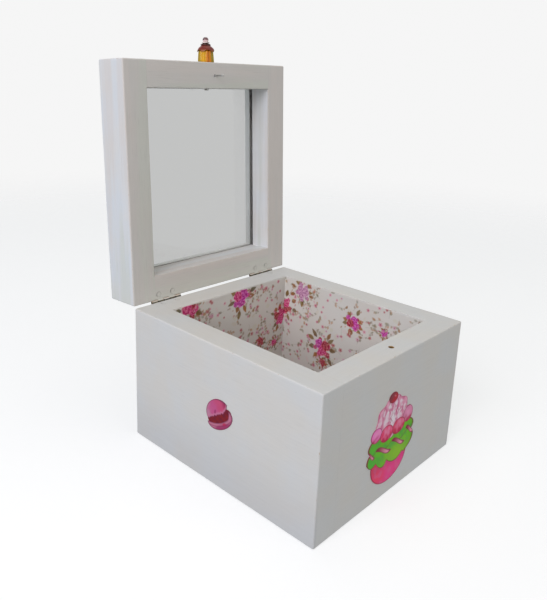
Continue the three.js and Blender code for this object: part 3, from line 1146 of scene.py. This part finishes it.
def paint_layers(sheet):
    x, z = sheet.x, sheet.y
    paint_shape(sheet, lower_layer(x, z), green_wash(x, z, 11), 0.5, 0.9)
    fold = 35.6 - 1.6 * np.sin((x + 13) * math.tau / 16)
    upper = np.maximum(upper_layer(x, z), fold - z)
    paint_shape(sheet, upper, green_wash(x, z, 21) * 0.96, 0.4, 0.8)
    for middle_x, middle_z, radius_x, radius_z, tilt in RIBBONS:
        wave = z + 1.2 * np.sin((x - middle_x) / radius_x * 2.6)
        ribbon = oval(x, wave, middle_x, middle_z, radius_x, radius_z, tilt)
        along = ease((x - middle_x) - 0.5 * (z - middle_z), -radius_x, radius_x)
        paint_shape(sheet, ribbon, blend((150, 44, 66), (255, 165, 190), along), 0.4, 0.9)


# %% Paint the petals, the cream and the cherry
def paint_petals(sheet):
    x, z = sheet.x, sheet.y
    for middle_x, middle_z, radius_x, radius_z, colour in PETALS:
        petal = oval(x, z, middle_x, middle_z, radius_x, radius_z)
        wash = drift(x, z, 4, int(middle_x * 3))
        glow = ease(oval(x, z, middle_x + 1, middle_z + 1.4, radius_x * 0.5, radius_z * 0.4), 2.4, -1.6)
        low = ease(z - middle_z + wash, 0.5, -radius_z)
        ink = blend(colour, (190, 34, 72), 0.9 * low)
        ink = tinged(ink, (255, 172, 208), 0.5 * glow + 0.15 * wash)
        paint_shape(sheet, petal, ink, 0.35, 0.65)


CREAM_LOBES = ((-18.4, 54, 1.7, 3.4), (-11.4, 54.6, 2.3, 4.6), (-4.2, 52.8, 2.8, 5.6),
               (2.9, 52.6, 2.2, 4.8), (8.6, 55.4, 1.7, 3.2), (-14.6, 60.2, 1.3, 2), (-8.4, 61.4, 1.4, 2.4),
               (-1.6, 60.8, 1.5, 2.4), (4.4, 60.2, 1.3, 2.1))


def paint_cream(sheet):
    """White lobes that lean in towards the cherry, with dark pink between them."""
    x, z = sheet.x, sheet.y
    ragged = drift(x, z, 3.2, 31)
    ink = blend((247, 182, 205), (222, 122, 159), 0.45 + 0.5 * drift(x, z * 0.5, 4, 32))
    for middle_x, middle_z, radius_x, radius_z in CREAM_LOBES:
        lobe = oval(x, z, middle_x, middle_z, radius_x, radius_z, (middle_x - CAKE_MIDDLE) * 1.6)
        beside = ease(abs(lobe - 1.1), 0.9, 0.1) * ease(x, middle_x, middle_x + radius_x)
        ink = tinged(ink, (206, 96, 140), 0.4 * beside)
        white = ease(lobe + 0.7 * ragged, 1.0, -1.0) * (0.95 - 0.03 * abs(middle_x - CAKE_MIDDLE))
        ink = tinged(ink, (250, 238, 244), white)
    paint_shape(sheet, cream_mound(x, z), ink, 0.25, 0.4, (190, 96, 132))
    rng = random.Random(7)
    for _ in range(46):
        spot = (rng.uniform(-16, 13), rng.uniform(50, 66))
        if spot[0] > -7 or spot[1] > 58:
            dab(sheet, *spot, rng.uniform(0.8, 2.0), 0.3, rng.uniform(20, 130), (176, 60, 104), 0.7)


def paint_cherry(sheet):
    x, z = sheet.x, sheet.y
    lit = ease((x - CHERRY_X) - (z - CHERRY_Z), -5, 4)
    paint_shape(sheet, cherry_shape(x, z), blend((127, 52, 64), (190, 34, 52), lit), 0.4, 0.7)
    dab(sheet, CHERRY_X + 1.7, CHERRY_Z + 0.6, 1.2, 0.5, -30, (232, 130, 142), 0.5)


def paint_cupcake(x, z):
    sheet = Sheet(x, z, (200, 70, 112))
    paint_cup(sheet)
    paint_layers(sheet)
    paint_cream(sheet)
    paint_cherry(sheet)
    paint_petals(sheet)
    return sheet


# %% [markdown]
# ### The macaron
#
# Two domed pink shells with a dark red filling, tilted. Each shell has a wavy foot along the filling.

# %% Draw the macaron
MACARON_MIDDLE = (3.3, 50.0)
MACARON_TILT = 31


def macaron_axes(x, y):
    """Distances along the macaron's layers and across them, from its middle."""
    c, s = math.cos(math.radians(MACARON_TILT)), math.sin(math.radians(MACARON_TILT))
    dx, dy = x - MACARON_MIDDLE[0], y - MACARON_MIDDLE[1]
    return dx * c + dy * s, dy * c - dx * s


def upper_foot(along):
    """The upper shell's lower edge: small scallops, and a rise towards the right."""
    scallops = 0.45 * abs(np.sin(np.pi * along / 3.4)) + 0.2 * np.sin(along * 2.7 + 1)
    return 0.1 - scallops + 0.08 * np.maximum(along - 4, 0) ** 2


def macaron_shells(along, across):
    upper = np.maximum(oval(along, across, 0.5, 1.0, 11.1, 8.6), upper_foot(along) - across)
    lower_top = -5.3 + 0.02 * (along - 1) ** 2 + 0.25 * np.maximum(along - 7, 0) ** 2
    lower = np.maximum(oval(along, across, 0, -2.9, 12.0, 6.6), across - lower_top)
    filling = oval(along, across, 0.6, -1.2, 11.4, 4.9)
    return upper, lower, filling


def macaron_outline(x, y):
    return np.minimum.reduce(macaron_shells(*macaron_axes(x, y)))


# %% Paint the macaron
MACARON_LINE = (110, 50, 80)


def paint_macaron(x, y):
    sheet = Sheet(x, y, (130, 30, 50))
    along, across = macaron_axes(x, y)
    upper, lower, filling = macaron_shells(along, across)
    wash = drift(along, across, 6, 41)
    red = blend((105, 15, 40), (128, 20, 30), 0.5 + 0.5 * drift(along, across, 5, 42))
    paint_shape(sheet, filling, red, 0.2, 0.3, MACARON_LINE)
    base = blend((190, 112, 138), (160, 55, 100), ease(across + 0.6 * wash, -5.6, -7.6))
    paint_shape(sheet, lower, base, 0.4, 0.6, MACARON_LINE)
    crease = across + 7.3 - 0.02 * (along - 1) ** 2
    sheet.lay(sheet.everywhere(), ease(abs(crease), 0.5, 0.1) * ease(lower, 0, -0.5) * 0.6, (128, 40, 82))
    dab(sheet, 9, 45.7, 1.6, 0.9, 31, (185, 35, 80), 0.7)
    dome = blend((188, 128, 152), (194, 84, 134), ease(along + 1.5 * wash, -9, -3))
    dome = tinged(dome, (196, 76, 116), ease(along + wash, -1, 4))
    dome = tinged(dome, (165, 50, 90), ease(along + wash, 5, 10))
    thick = 0.35 + 0.4 * ease(along, 1, 9) * ease(across, 0, 4)
    paint_shape(sheet, upper, dome, thick, 0.75, MACARON_LINE)
    ruffle = ease(abs(across - upper_foot(along) - 0.9), 0.9, 0.3) * ease(upper, 0, -0.3)
    sheet.lay(sheet.everywhere(), ruffle * 0.8, (196, 116, 146))
    c, s = math.cos(math.radians(MACARON_TILT)), math.sin(math.radians(MACARON_TILT))
    spot = (MACARON_MIDDLE[0] - 1.7 * c - 2.2 * s, MACARON_MIDDLE[1] - 1.7 * s + 2.2 * c)
    dab(sheet, *spot, 1.5, 0.8, 70, (140, 40, 90), 0.65)
    return sheet


# %% Glue the cut-outs on
CUTOUT_CELL = 0.22
PAPER_LIFT = 0.32


def cut_out(node, outline, painter, middle, size, across, up, face):
    sheet = paper_grid(node + "_print", *size, CUTOUT_CELL)
    sheet.data.transform(Matrix.Translation(Vector((*middle, 0)) * mm))
    cut_to(sheet, outline)
    thicken(sheet, PAPER_LIFT - 0.02)
    keep_print(sheet, painter(*(coordinates(sheet)[:, :2] / mm).T))
    stand_up(sheet, across, up, Vector(face) * mm)
    hand_sanded(sheet)
    hand_over(sheet, cutout_finish, "case", node.replace("cutout", "paper"), node)


cut_out("cupcake_cutout", cupcake_outline, paint_cupcake, (-3.5, 40), (56, 64),
        (1, 0, 0), (0, 0, 1), (0, -HALF_DEPTH - PAPER_LIFT, 0))
cut_out("macaron_cutout", macaron_outline, paint_macaron, MACARON_MIDDLE, (30, 26),
        (0, -1, 0), (0, 0, 1), (-HALF_WIDTH - PAPER_LIFT, 0, 0))

# %% [markdown]
# ## Hinges and their screws
#
# The leaves are let in flush, their recesses are full of paint, and they were brushed over with the
# wood, so they hardly show. The knuckles have turned since: their paint has rubbed off to a dull olive
# brass. Between them black is painted in as shade, with some old oil.


# %% Rubbed knuckles, with painted shade between them
AXIS_Y, AXIS_Z = AXIS.y / mm, AXIS.z / mm
leaf_low, leaf_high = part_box("hinge_left_case_leaf")
KNUCKLE_PITCH = (leaf_high.x - leaf_low.x) / mm / 5
LEAF_END = -leaf_high.x / mm  # the end nearer the middle of the box


def dark_knuckles(shader, place, colour, height):
    """height is how far a point is above the axis while the lid is open, in millimetres."""
    x, y, z = shader.parts(place)
    from_axis = ((y - AXIS_Y) ** 2 + (z - AXIS_Z) ** 2) ** 0.5
    knuckle = from_axis.fade(1.55, 1.3) * height(y, z).fade(0.85, 0.55)
    rubbed = shader.noise(place, 0.6, detail=4, roughness=0.6)
    brass = shader.mix(rubbed.fade(0.4, 0.65), tint(60, 54, 38), tint(112, 104, 80))
    colour = shader.mix(knuckle, colour, brass)
    along = abs(x) - LEAF_END
    joint = along.maths("PINGPONG", along, KNUCKLE_PITCH / 2)
    # painted shade, partly oil: black where the knuckles meet
    joint_shade_and_oil = knuckle * joint.fade(0.75, 0.2) * (0.4 + rubbed)
    return shader.mix(joint_shade_and_oil, colour, tint(16, 14, 12))


def case_knuckles(shader, place, colour):
    return dark_knuckles(shader, place, colour, lambda y, z: z - AXIS_Z)


def lid_knuckles(shader, place, colour):
    return dark_knuckles(shader, place, colour, lambda y, z: AXIS_Y - y)


hinge_paint = {
    "case": brushed_paint("case_hinge_paint", "X", grain=0.35, wear=case_knuckles),
    "lid": brushed_paint("lid_hinge_paint", "X", closed_lid=True, patchy=0.5, wear=lid_knuckles),
}


# %% Aged brass for the pins
def aged_brass():
    shader = Shader("aged_brass")
    place = shader.place()
    tarnish = shader.noise(place, 0.6, detail=4, roughness=0.65)
    colour = shader.mix(tarnish.fade(0.35, 0.7), tint(150, 122, 72), tint(62, 50, 34))
    return shader.surface({
        "Base Color": colour,
        "Metallic": 0.95,
        "Roughness": 0.34 + tarnish * 0.3,
        "Normal": shader.bump(tarnish, 0.04, strength=0.5),
    })


brass = aged_brass()

# %% Make the hinges
CLEARANCE = 0.3
KNUCKLE_REACH = 1.4


def fill_recess(leaf, centre_x):
    """Grows the flat leaf by the clearance round it, and leaves the knuckles alone."""
    front = min(v.co.y for v in leaf.data.vertices)
    plate_back = (AXIS_Y - KNUCKLE_REACH) * mm
    ends = [min(v.co.x for v in leaf.data.vertices), max(v.co.x for v in leaf.data.vertices)]
    for vertex in leaf.data.vertices:
        if near(vertex.co.y, front, 0.01 * mm):
            vertex.co.y -= CLEARANCE * mm
        on_plate = vertex.co.y < plate_back
        if on_plate and min(abs(vertex.co.x - end) for end in ends) < 0.01 * mm:
            vertex.co.x += math.copysign(CLEARANCE * mm, vertex.co.x - centre_x)


for side in ("left", "right"):
    for body in ("case", "lid"):
        node = f"hinge_{side}_{body}_leaf"
        plate = copy_of(node, node + "_painted", closed=body == "lid")
        pin_low, pin_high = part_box(f"hinge_{side}_pin")
        centre = (pin_low.x + pin_high.x) / 2
        fill_recess(plate, centre)
        hand_sanded(plate)
        if body == "lid":
            plate.data.transform(OPEN)
        hand_over(plate, hinge_paint[body], body, "aged_brass", node, steady=True)
    node = f"hinge_{side}_pin"
    pin = copy_of(node, node + "_turned")
    round_edges(pin, is_sharp, 0.1, 2)
    hand_over(pin, brass, "case", "aged_brass", node)

# %% [markdown]
# The eight screws are one screw. It is modelled once: the engineered one with its slot nearly filled
# and its head widened over the hair of clearance in the leaf, as paint does both. The others are copies
# with meshes of their own, set where the frame has them. The lid's four point the other way.

# %% Set the eight screws
HEAD_GROWTH = 0.1
SLOT_DEPTH = 0.4
SLOT_LEFT = 0.05  # what the paint leaves of the slot
screw_nodes = [(body, f"hinge_{side}_{body}_screw_{number}")
               for side in ("left", "right") for body in ("case", "lid") for number in (1, 2)]
pattern = copy_of(screw_nodes[0][1], "screw_pattern")
first_low, first_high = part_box(screw_nodes[0][1])
first_head = Vector(((first_low.x + first_high.x) / 2, (first_low.y + first_high.y) / 2, first_high.z))
head_radius = (first_high.x - first_low.x) / 2 / mm
for vertex in pattern.data.vertices:
    out = (vertex.co - first_head) / mm
    if near(math.hypot(out.x, out.y), head_radius, 0.02):
        vertex.co.x += out.x / head_radius * HEAD_GROWTH * mm
        vertex.co.y += out.y / head_radius * HEAD_GROWTH * mm
    if near(out.z, -SLOT_DEPTH, 0.02):
        vertex.co.z += (SLOT_DEPTH - SLOT_LEFT) * mm

for body, node in screw_nodes:
    screw = pattern.copy()
    screw.data = pattern.data.copy()
    screw.name = node + "_painted"
    bpy.context.scene.collection.objects.link(screw)
    low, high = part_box(node)
    x_place = (low.x + high.x) / 2
    screw.data.transform(Matrix.Translation(-first_head))
    if body == "case":
        screw.data.transform(Matrix.Translation((x_place, first_head.y, first_head.z)))
        hand_sanded(screw)
    else:
        screw.data.transform(Matrix.Rotation(math.pi, 4, "X"))
        screw.data.transform(Matrix.Translation((x_place, first_head.y, LID_BASE * mm)))
        hand_sanded(screw)
        screw.data.transform(OPEN)
    hand_over(screw, hinge_paint[body], body, "aged_brass", node, steady=True)
bpy.data.objects.remove(pattern)

# %% [markdown]
# ## The glass
#
# A plain pane, cut and seamed, with the faint smears of the last wipe. The dark hairline round it is
# the groove that it sits in, darkened by painted shade, with some dirt, in the lid's paint.


# %% Make the pane
def window_glass():
    shader = Shader("window_glass")
    place = shader.place(closed_lid=True)
    wipes = shader.noise(shader.stretched(place, (1, 0.25, 1)), 0.05, detail=3, distortion=0.8)
    return shader.surface({
        "Base Color": (0.95, 0.96, 0.955, 1),
        "Roughness": wipes.fade(0.45, 0.8) * 0.03,
        "IOR": 1.5,
        "Transmission Weight": 1.0,
    })


pane = copy_of("lid_glass", "lid_glass_pane")
round_edges(pane, is_sharp, 0.25, 2)
hand_over(pane, window_glass(), "lid", "pane_glass", "lid_glass", steady=True)

# %% [markdown]
# ## Turned pieces
#
# The catch pin, the knob and its screw were turned or moulded round an axis. Each starts as a circle
# that is pushed up ring by ring, resized at each ring, and closed at both ends.


# %% Push up a turned piece
def turned(name, rings, sides=48):
    """A closed round piece about Z. Rings are (radius, height) in millimetres, from the bottom up."""
    (first_radius, first_height), *rest = rings
    bpy.ops.mesh.primitive_circle_add(
        vertices=sides, radius=first_radius * mm, location=(0, 0, 0), fill_type="NGON")
    piece = bpy.context.object
    piece.name = name
    with editing(piece):
        bpy.ops.mesh.select_all(action="SELECT")
        bpy.ops.transform.translate(value=(0, 0, first_height * mm))
        bpy.ops.mesh.extrude_region_move()
        radius, height = first_radius, first_height
        for next_radius, next_height in rest:
            share = next_radius / radius
            bpy.ops.transform.resize(value=(share, share, 1), center_override=(0, 0, 0))
            bpy.ops.transform.translate(value=(0, 0, (next_height - height) * mm))
            radius, height = next_radius, next_height
            if (next_radius, next_height) != rest[-1]:
                bpy.ops.mesh.extrude_region_move()
        bpy.ops.mesh.select_all(action="SELECT")
        bpy.ops.mesh.normals_make_consistent(inside=False)
    return piece


def refine(piece):
    subdivision = piece.modifiers.new("Subdivision", "SUBSURF")
    subdivision.levels = 1
    make_active(piece)
    bpy.ops.object.modifier_apply(modifier=subdivision.name)


# %% [markdown]
# The catch is a plain steel pin in the lid, with a domed end that finds its hole. Steel of this kind
# is bright along the turning marks and dull in between.


# %% Make the catch pin
def dull_steel():
    shader = Shader("dull_steel")
    place = shader.place(closed_lid=True)
    turning = shader.noise(shader.stretched(place, (0.3, 0.3, 3)), 1.5, detail=3)
    stains = shader.noise(place, 0.5, detail=3)
    return shader.surface({
        "Base Color": shader.mix(stains.fade(0.4, 0.7), tint(190, 191, 190), tint(136, 134, 128)),
        "Metallic": 0.7,
        "Roughness": 0.28 + turning * 0.3,
        "Normal": shader.bump(turning, 0.02, strength=0.5),
    })


steel = dull_steel()
shut_pin = [SHUT @ v.co for v in frame["nodes"]["catch_pin"].data.vertices]
PIN_FOOT = min(corner.z for corner in shut_pin) / mm
PIN_TOP = max(corner.z for corner in shut_pin) / mm
PIN_RADIUS = 0.6
dome = [(PIN_RADIUS * math.sin(a), PIN_FOOT + 0.5 * (1 - math.cos(a)))
        for a in (math.radians(15 + 15 * i) for i in range(5))]
catch = turned("catch_pin_turned", dome + [(PIN_RADIUS, PIN_FOOT + 0.6), (PIN_RADIUS, PIN_TOP)], 32)
catch.data.transform(OPEN @ Matrix.Translation(Vector((CATCH_X, CATCH_Y, 0)) * mm))
hand_over(catch, steel, "lid", "steel", "catch_pin")

# %% [markdown]
# ## The cupcake knob
#
# A small moulded ornament, glazed like glass: an amber cup with fine flutes, chocolate icing in two
# swirled tiers whose hem droops over the cup, a dab of cream and a dark cherry. It is modelled upright
# at the origin, then laid on its side on the front of the shut lid and swung open with it.

# %% Where the knob goes
shut_cup = [SHUT @ v.co for v in frame["nodes"]["knob_cup"].data.vertices]
KNOB_X = (min(c.x for c in shut_cup) + max(c.x for c in shut_cup)) / 2 / mm
KNOB_Z = (min(c.z for c in shut_cup) + max(c.z for c in shut_cup)) / 2 / mm
CUP_TOP = -HALF_DEPTH - min(c.y for c in shut_cup) / mm
knob_place = Matrix.Translation(Vector((KNOB_X, -HALF_DEPTH, KNOB_Z)) * mm)
ON_LID = OPEN @ knob_place @ Matrix.Rotation(math.pi / 2, 4, "X")
print(f"knob at x {KNOB_X:.1f}, {KNOB_Z - LID_BASE:.1f} mm above the lid's underside")


def set_knob_part(piece, material, slot, node):
    piece.data.transform(ON_LID)
    hand_over(piece, material, "lid", slot, node, crease=50)


# %% Mould the fluted cup
FLUTES = 12
FLUTE_DEPTH = 0.3
cup_rings = [(5.0, 0.3), (5.4, 0.45), (5.55, 0.8), (5.55, 2), (5.4, 4), (5.25, 6), (5.05, 7.6),
             (4.9, 8.2), (4.5, CUP_TOP)]
cup = turned("knob_cup_moulded", cup_rings, FLUTES * 12)
for vertex in cup.data.vertices:
    flat = math.hypot(vertex.co.x, vertex.co.y) / mm
    if flat > 4:
        angle = math.atan2(vertex.co.y, vertex.co.x)
        swell = 1 + FLUTE_DEPTH / flat * min(1, (flat - 4) / 0.9) * math.cos(FLUTES * angle)
        vertex.co.x *= swell
        vertex.co.y *= swell


def amber_cup():
    """Amber glaze in broad soft bands, mustard to golden to orange, and olive in the grooves."""
    shader = Shader("amber_glaze")
    place = shader.place(closed_lid=True)
    x, y, z = shader.parts(place)
    wide = ((x - KNOB_X) ** 2 + (z - KNOB_Z) ** 2) ** 0.5
    up_the_cup = -HALF_DEPTH - y
    crest = (wide + up_the_cup * 0.085).fade(5.3, 5.75)
    depth = shader.noise(place, 0.3, detail=3, distortion=0.6)
    swirl = 0.68 * (x - KNOB_X) - 0.73 * (z - KNOB_Z) + depth * 2 - 1
    colour = shader.mix(swirl.fade(-4.4, -2.4), tint(162, 134, 14), tint(216, 160, 18))
    colour = shader.mix(swirl.fade(0, 1.6), colour, tint(200, 114, 2))
    colour = shader.mix(swirl.fade(3.2, 4.8), colour, tint(162, 142, 30))
    return shader.surface({
        "Base Color": shader.mix((1 - crest) * 0.2, colour, tint(138, 112, 14)),
        "Roughness": 0.34 + depth * 0.12,
        "Specular IOR Level": 0.25,
        "Coat Weight": 0.12,
        "Coat Roughness": 0.1,
        "Normal": shader.bump(depth, 0.06, strength=0.4),
    })


set_knob_part(cup, amber_cup(), "knob_yellow", "knob_cup")

# %% Pipe the chocolate icing
HEM_POINTS, HEM_DROOP = 5, 1.3
SKIRT_TOP = 10
TIER_LOW, TIER_HIGH = 11.7, 12.9
icing_rings = [(5.3, 8.8), (6.05, 8.55), (6.2, 8.8), (5.8, 9.6), (5.1, 10.4), (4.4, 11.0), (3.6, 11.6),
               (3.3, 11.9), (3.6, 12.1), (3.7, 12.5), (3.3, 13.0), (2.4, 13.4), (1.6, 13.8)]
icing = turned("knob_icing_piped", icing_rings, 80)
for vertex in icing.data.vertices:
    x, y, z = vertex.co / mm
    flat = math.hypot(x, y)
    angle = math.atan2(y, x)
    hem = max(0, min(1, (flat - 5.2) / 0.8)) * (z < SKIRT_TOP)
    tier = max(0, min(1, (flat - 3) / 0.6)) * (TIER_LOW < z < TIER_HIGH)
    point = abs(math.cos(HEM_POINTS / 2 * angle + 0.4)) ** 4
    lip = 0.28 * math.sin(3 * angle + 0.7) + 0.12 * math.sin(7 * angle)
    vertex.co = Vector((x, y, z - HEM_DROOP * hem * point + tier * lip)) * mm
refine(icing)


def chocolate_glaze():
    """Nearly black on the upper tier, brown-red on the skirt and translucent amber at the hem."""
    shader = Shader("chocolate_glaze")
    place = shader.place(closed_lid=True)
    _, y, _ = shader.parts(place)
    depth = shader.noise(place, 0.35, detail=3, distortion=0.4)
    height = -HALF_DEPTH - y + depth * 1.4
    colour = shader.mix(height.fade(13.3, 11.9), tint(52, 14, 6), tint(112, 30, 18))
    colour = shader.mix(height.fade(10.1, 8.6), colour, tint(142, 72, 8))
    return shader.surface({
        "Base Color": colour,
        "Roughness": 0.32 + depth * 0.14,
        "Specular IOR Level": 0.25,
        "Coat Weight": 0.12,
        "Coat Roughness": 0.1,
        "Normal": shader.bump(depth, 0.08, strength=0.5),
    })


set_knob_part(icing, chocolate_glaze(), "knob_chocolate", "knob_icing")

# %% Drop on the cream and the cherry
CREAM_SKIRT = 14.4
cream = turned("knob_cream_dollop", [(1.8, 13.75), (2.7, 13.8), (2.85, 14.1), (2.5, 14.5), (1.7, 14.7)], 36)
for vertex in cream.data.vertices:
    angle = math.atan2(vertex.co.y, vertex.co.x)
    vertex.co.xy *= 1 + 0.05 * math.sin(6 * angle)
    if vertex.co.z < CREAM_SKIRT * mm:
        vertex.co.z -= 0.3 * mm * max(0, math.cos(angle - math.pi)) ** 2
refine(cream)


def whipped_glaze():
    shader = Shader("cream_glaze")
    place = shader.place(closed_lid=True)
    depth = shader.noise(place, 0.4, detail=3, distortion=0.4)
    return shader.surface({
        "Base Color": shader.mix(depth.fade(0.32, 0.68), tint(240, 226, 220), tint(224, 196, 194)),
        "Roughness": 0.32 + depth * 0.12,
        "Coat Weight": 0.3,
        "Coat Roughness": 0.1,
        "Normal": shader.bump(depth, 0.08, strength=0.5),
    })


set_knob_part(cream, whipped_glaze(), "knob_cream", "knob_cream")

CHERRY_RADIUS = 2.15
CHERRY_MIDDLE = 15.8
CHERRY_SEAT = 14.7
bpy.ops.mesh.primitive_uv_sphere_add(segments=32, ring_count=20, radius=CHERRY_RADIUS * mm,
                                     location=(0, 0, 0))
cherry = bpy.context.object
cherry.name = "knob_cherry_moulded"
for vertex in cherry.data.vertices:
    flat = math.hypot(vertex.co.x, vertex.co.y) / mm
    if vertex.co.z > 0:
        vertex.co.z -= 0.45 * mm * math.exp(-((flat / 0.6) ** 2))
    vertex.co.z = max(vertex.co.z, (CHERRY_SEAT - CHERRY_MIDDLE) * mm)
cherry.data.transform(Matrix.Translation((0, 0, CHERRY_MIDDLE * mm)))


def cherry_glaze():
    """Dark red on top, fading to a pale pink on its lower part."""
    shader = Shader("cherry_glaze")
    place = shader.place(closed_lid=True)
    _, y, _ = shader.parts(place)
    depth = shader.noise(place, 0.5, detail=3)
    height = -HALF_DEPTH - y + depth * 0.8
    colour = shader.mix(depth.fade(0.35, 0.7), tint(108, 16, 30), tint(54, 8, 16))
    colour = shader.mix(height.fade(16.4, 15.6), colour, tint(236, 204, 204))
    return shader.surface({
        "Base Color": colour,
        "Roughness": 0.14 + depth * 0.1,
        "Coat Weight": 0.9,
        "Coat Roughness": 0.04,
        "Normal": shader.bump(depth, 0.03, strength=0.4),
    })


set_knob_part(cherry, cherry_glaze(), "knob_cherry", "knob_cherry")

# %% [markdown]
# The knob's screw comes through the front rail. Its slotted pan head shows in the lid's opening.

# %% Turn the knob's screw
SCREW_SEAT = -BOARD - 0.3
SCREW_TIP = 6
screw_rings = [(0.7, SCREW_SEAT - 0.9), (1.2, SCREW_SEAT - 0.85), (1.6, SCREW_SEAT - 0.6),
               (1.8, SCREW_SEAT - 0.3), (1.8, SCREW_SEAT), (1.0, SCREW_SEAT + 0.01),
               (1.0, SCREW_TIP - 0.8), (0.5, SCREW_TIP)]
long_screw = turned("knob_screw_turned", screw_rings, 32)
bpy.ops.mesh.primitive_cube_add(size=1, location=(0, 0, (SCREW_SEAT - 0.95) * mm))
slot_cutter = bpy.context.object
slot_cutter.scale = (5 * mm, 0.5 * mm, 0.9 * mm)
slotting = long_screw.modifiers.new("Slot", "BOOLEAN")
slotting.operation = "DIFFERENCE"
slotting.object = slot_cutter
make_active(long_screw)
bpy.ops.object.modifier_apply(modifier=slotting.name)
bpy.data.objects.remove(slot_cutter)
set_knob_part(long_screw, steel, "steel", "knob_screw")

# %% [markdown]
# ## The studio
#
# The box stands on a pale floor that fades into an even backdrop, so that no horizon shows from any
# side. One big cool softbox is on the left, as from a window. A warmer one is overhead, and a weak
# warm one fills the front.


# %% Floor and backdrop
FLOOR_FADES = (0.45, 1.3)  # metres from the middle
WHITE = (1, 1, 1, 1)
BACKDROP = 0.92
BEHIND_GLASS = 0.55
FILL = 0.385
FILL_COLOUR = (0.84, 0.93, 1, 1)


def studio_floor():
    shader = Shader("studio_floor")
    where = shader.node("ShaderNodeTexCoord", output="Object")
    x, y, _ = shader.parts(where)
    far = ((x ** 2 + y ** 2) ** 0.5).fade(*FLOOR_FADES)
    tooth = shader.noise(where, 900, detail=2)
    floor_paint = shader.node("ShaderNodeBsdfPrincipled", {}, {
        "Base Color": (0.5, 0.5, 0.5, 1), "Roughness": 0.9, "Specular IOR Level": 0.1,
        "Emission Color": WHITE, "Emission Strength": 0.57,
        "Normal": shader.bump(tooth, 0.02, strength=0.3)})
    clear = shader.node("ShaderNodeBsdfTransparent")
    faded = shader.node("ShaderNodeMixShader", {}, {0: far, 1: floor_paint, 2: clear})
    shader.node("ShaderNodeOutputMaterial", {}, {"Surface": faded})
    return shader.material


bpy.ops.mesh.primitive_circle_add(vertices=96, radius=1.5, fill_type="NGON", location=(0, 0, -0.0001))
floor = bpy.context.object
floor.name = "studio_floor"
floor.data.materials.append(studio_floor())
floor.visible_diffuse = False
floor.visible_transmission = False


def studio_backdrop():
    """Bright to the eye, greyer behind the glass, and softer as a light on the box."""
    world = bpy.data.worlds.new("studio")
    bpy.context.scene.world = world
    world.use_nodes = True
    nodes, links = world.node_tree.nodes, world.node_tree.links
    nodes.clear()
    path = nodes.new("ShaderNodeLightPath")

    def glow(colour, strength):
        background = nodes.new("ShaderNodeBackground")
        background.inputs["Color"].default_value = colour
        background.inputs["Strength"].default_value = strength
        return background.outputs[0]

    def when(ray, otherwise, chosen):
        either = nodes.new("ShaderNodeMixShader")
        for socket, source in enumerate((path.outputs[ray], otherwise, chosen)):
            links.new(source, either.inputs[socket])
        return either.outputs[0]

    light = when("Is Diffuse Ray", glow(WHITE, BACKDROP), glow(FILL_COLOUR, FILL))
    light = when("Is Transmission Ray", light, glow(WHITE, BEHIND_GLASS))
    links.new(light, nodes.new("ShaderNodeOutputWorld").inputs[0])


studio_backdrop()

# %% Softboxes
SOFTBOXES = {
    "window": ((-1.1, -0.25, 0.75), 0.9, 11.2, (0.96, 0.94, 1.0)),
    "overhead": ((0.15, 0.05, 1.3), 0.9, 2.4, (1.0, 0.92, 0.74)),
    "front_fill": ((0.35, -1.3, 0.55), 0.8, 2.4, (1.0, 0.84, 0.66)),
}
BOX_MIDDLE = Vector((0, 0, 0.1))

for name, (place, size, power, colour) in SOFTBOXES.items():
    lamp = bpy.data.lights.new(name, "AREA")
    lamp.shape = "SQUARE"
    lamp.size = size
    lamp.energy = power
    lamp.color = colour
    softbox = bpy.data.objects.new(name, lamp)
    softbox.location = place
    softbox.rotation_euler = (BOX_MIDDLE - Vector(place)).to_track_quat("-Z", "Y").to_euler()
    softbox.visible_camera = False
    bpy.context.scene.collection.objects.link(softbox)

# %% [markdown]
# The camera stands off the front left corner, about as high as the open lid, and looks down a little.
# It leans by two degrees, as one held in the hand does, and its lens is shifted to frame the box.

# %% The camera
LENS = 38.39
LENS_SHIFT = (0.00543, -0.0974)
STANDPOINT = Vector((-312.787, -258.093, 251.334)) * mm
HEADING, DROP, ROLL = (math.radians(angle) for angle in (47.489, 14.795, 2.321))
camera_data = bpy.data.cameras.new("camera")
camera_data.lens = LENS
camera_data.sensor_width = 36
camera_data.shift_x, camera_data.shift_y = LENS_SHIFT
camera_data.clip_start = 0.01
camera_data.clip_end = 50
camera = bpy.data.objects.new("camera", camera_data)
bpy.context.scene.collection.objects.link(camera)
bpy.context.scene.camera = camera
forward = Vector((math.sin(HEADING) * math.cos(DROP), math.cos(HEADING) * math.cos(DROP), -math.sin(DROP)))
aim = forward.to_track_quat("-Z", "Y").to_matrix().to_4x4()
camera.matrix_world = Matrix.Translation(STANDPOINT) @ aim @ Matrix.Rotation(ROLL, 4, "Z")
bpy.context.scene.view_settings.view_transform = "Standard"

# %% Measure and finish
print(len(made), "pieces made,", sum(len(piece.data.polygons) for piece in made), "faces")
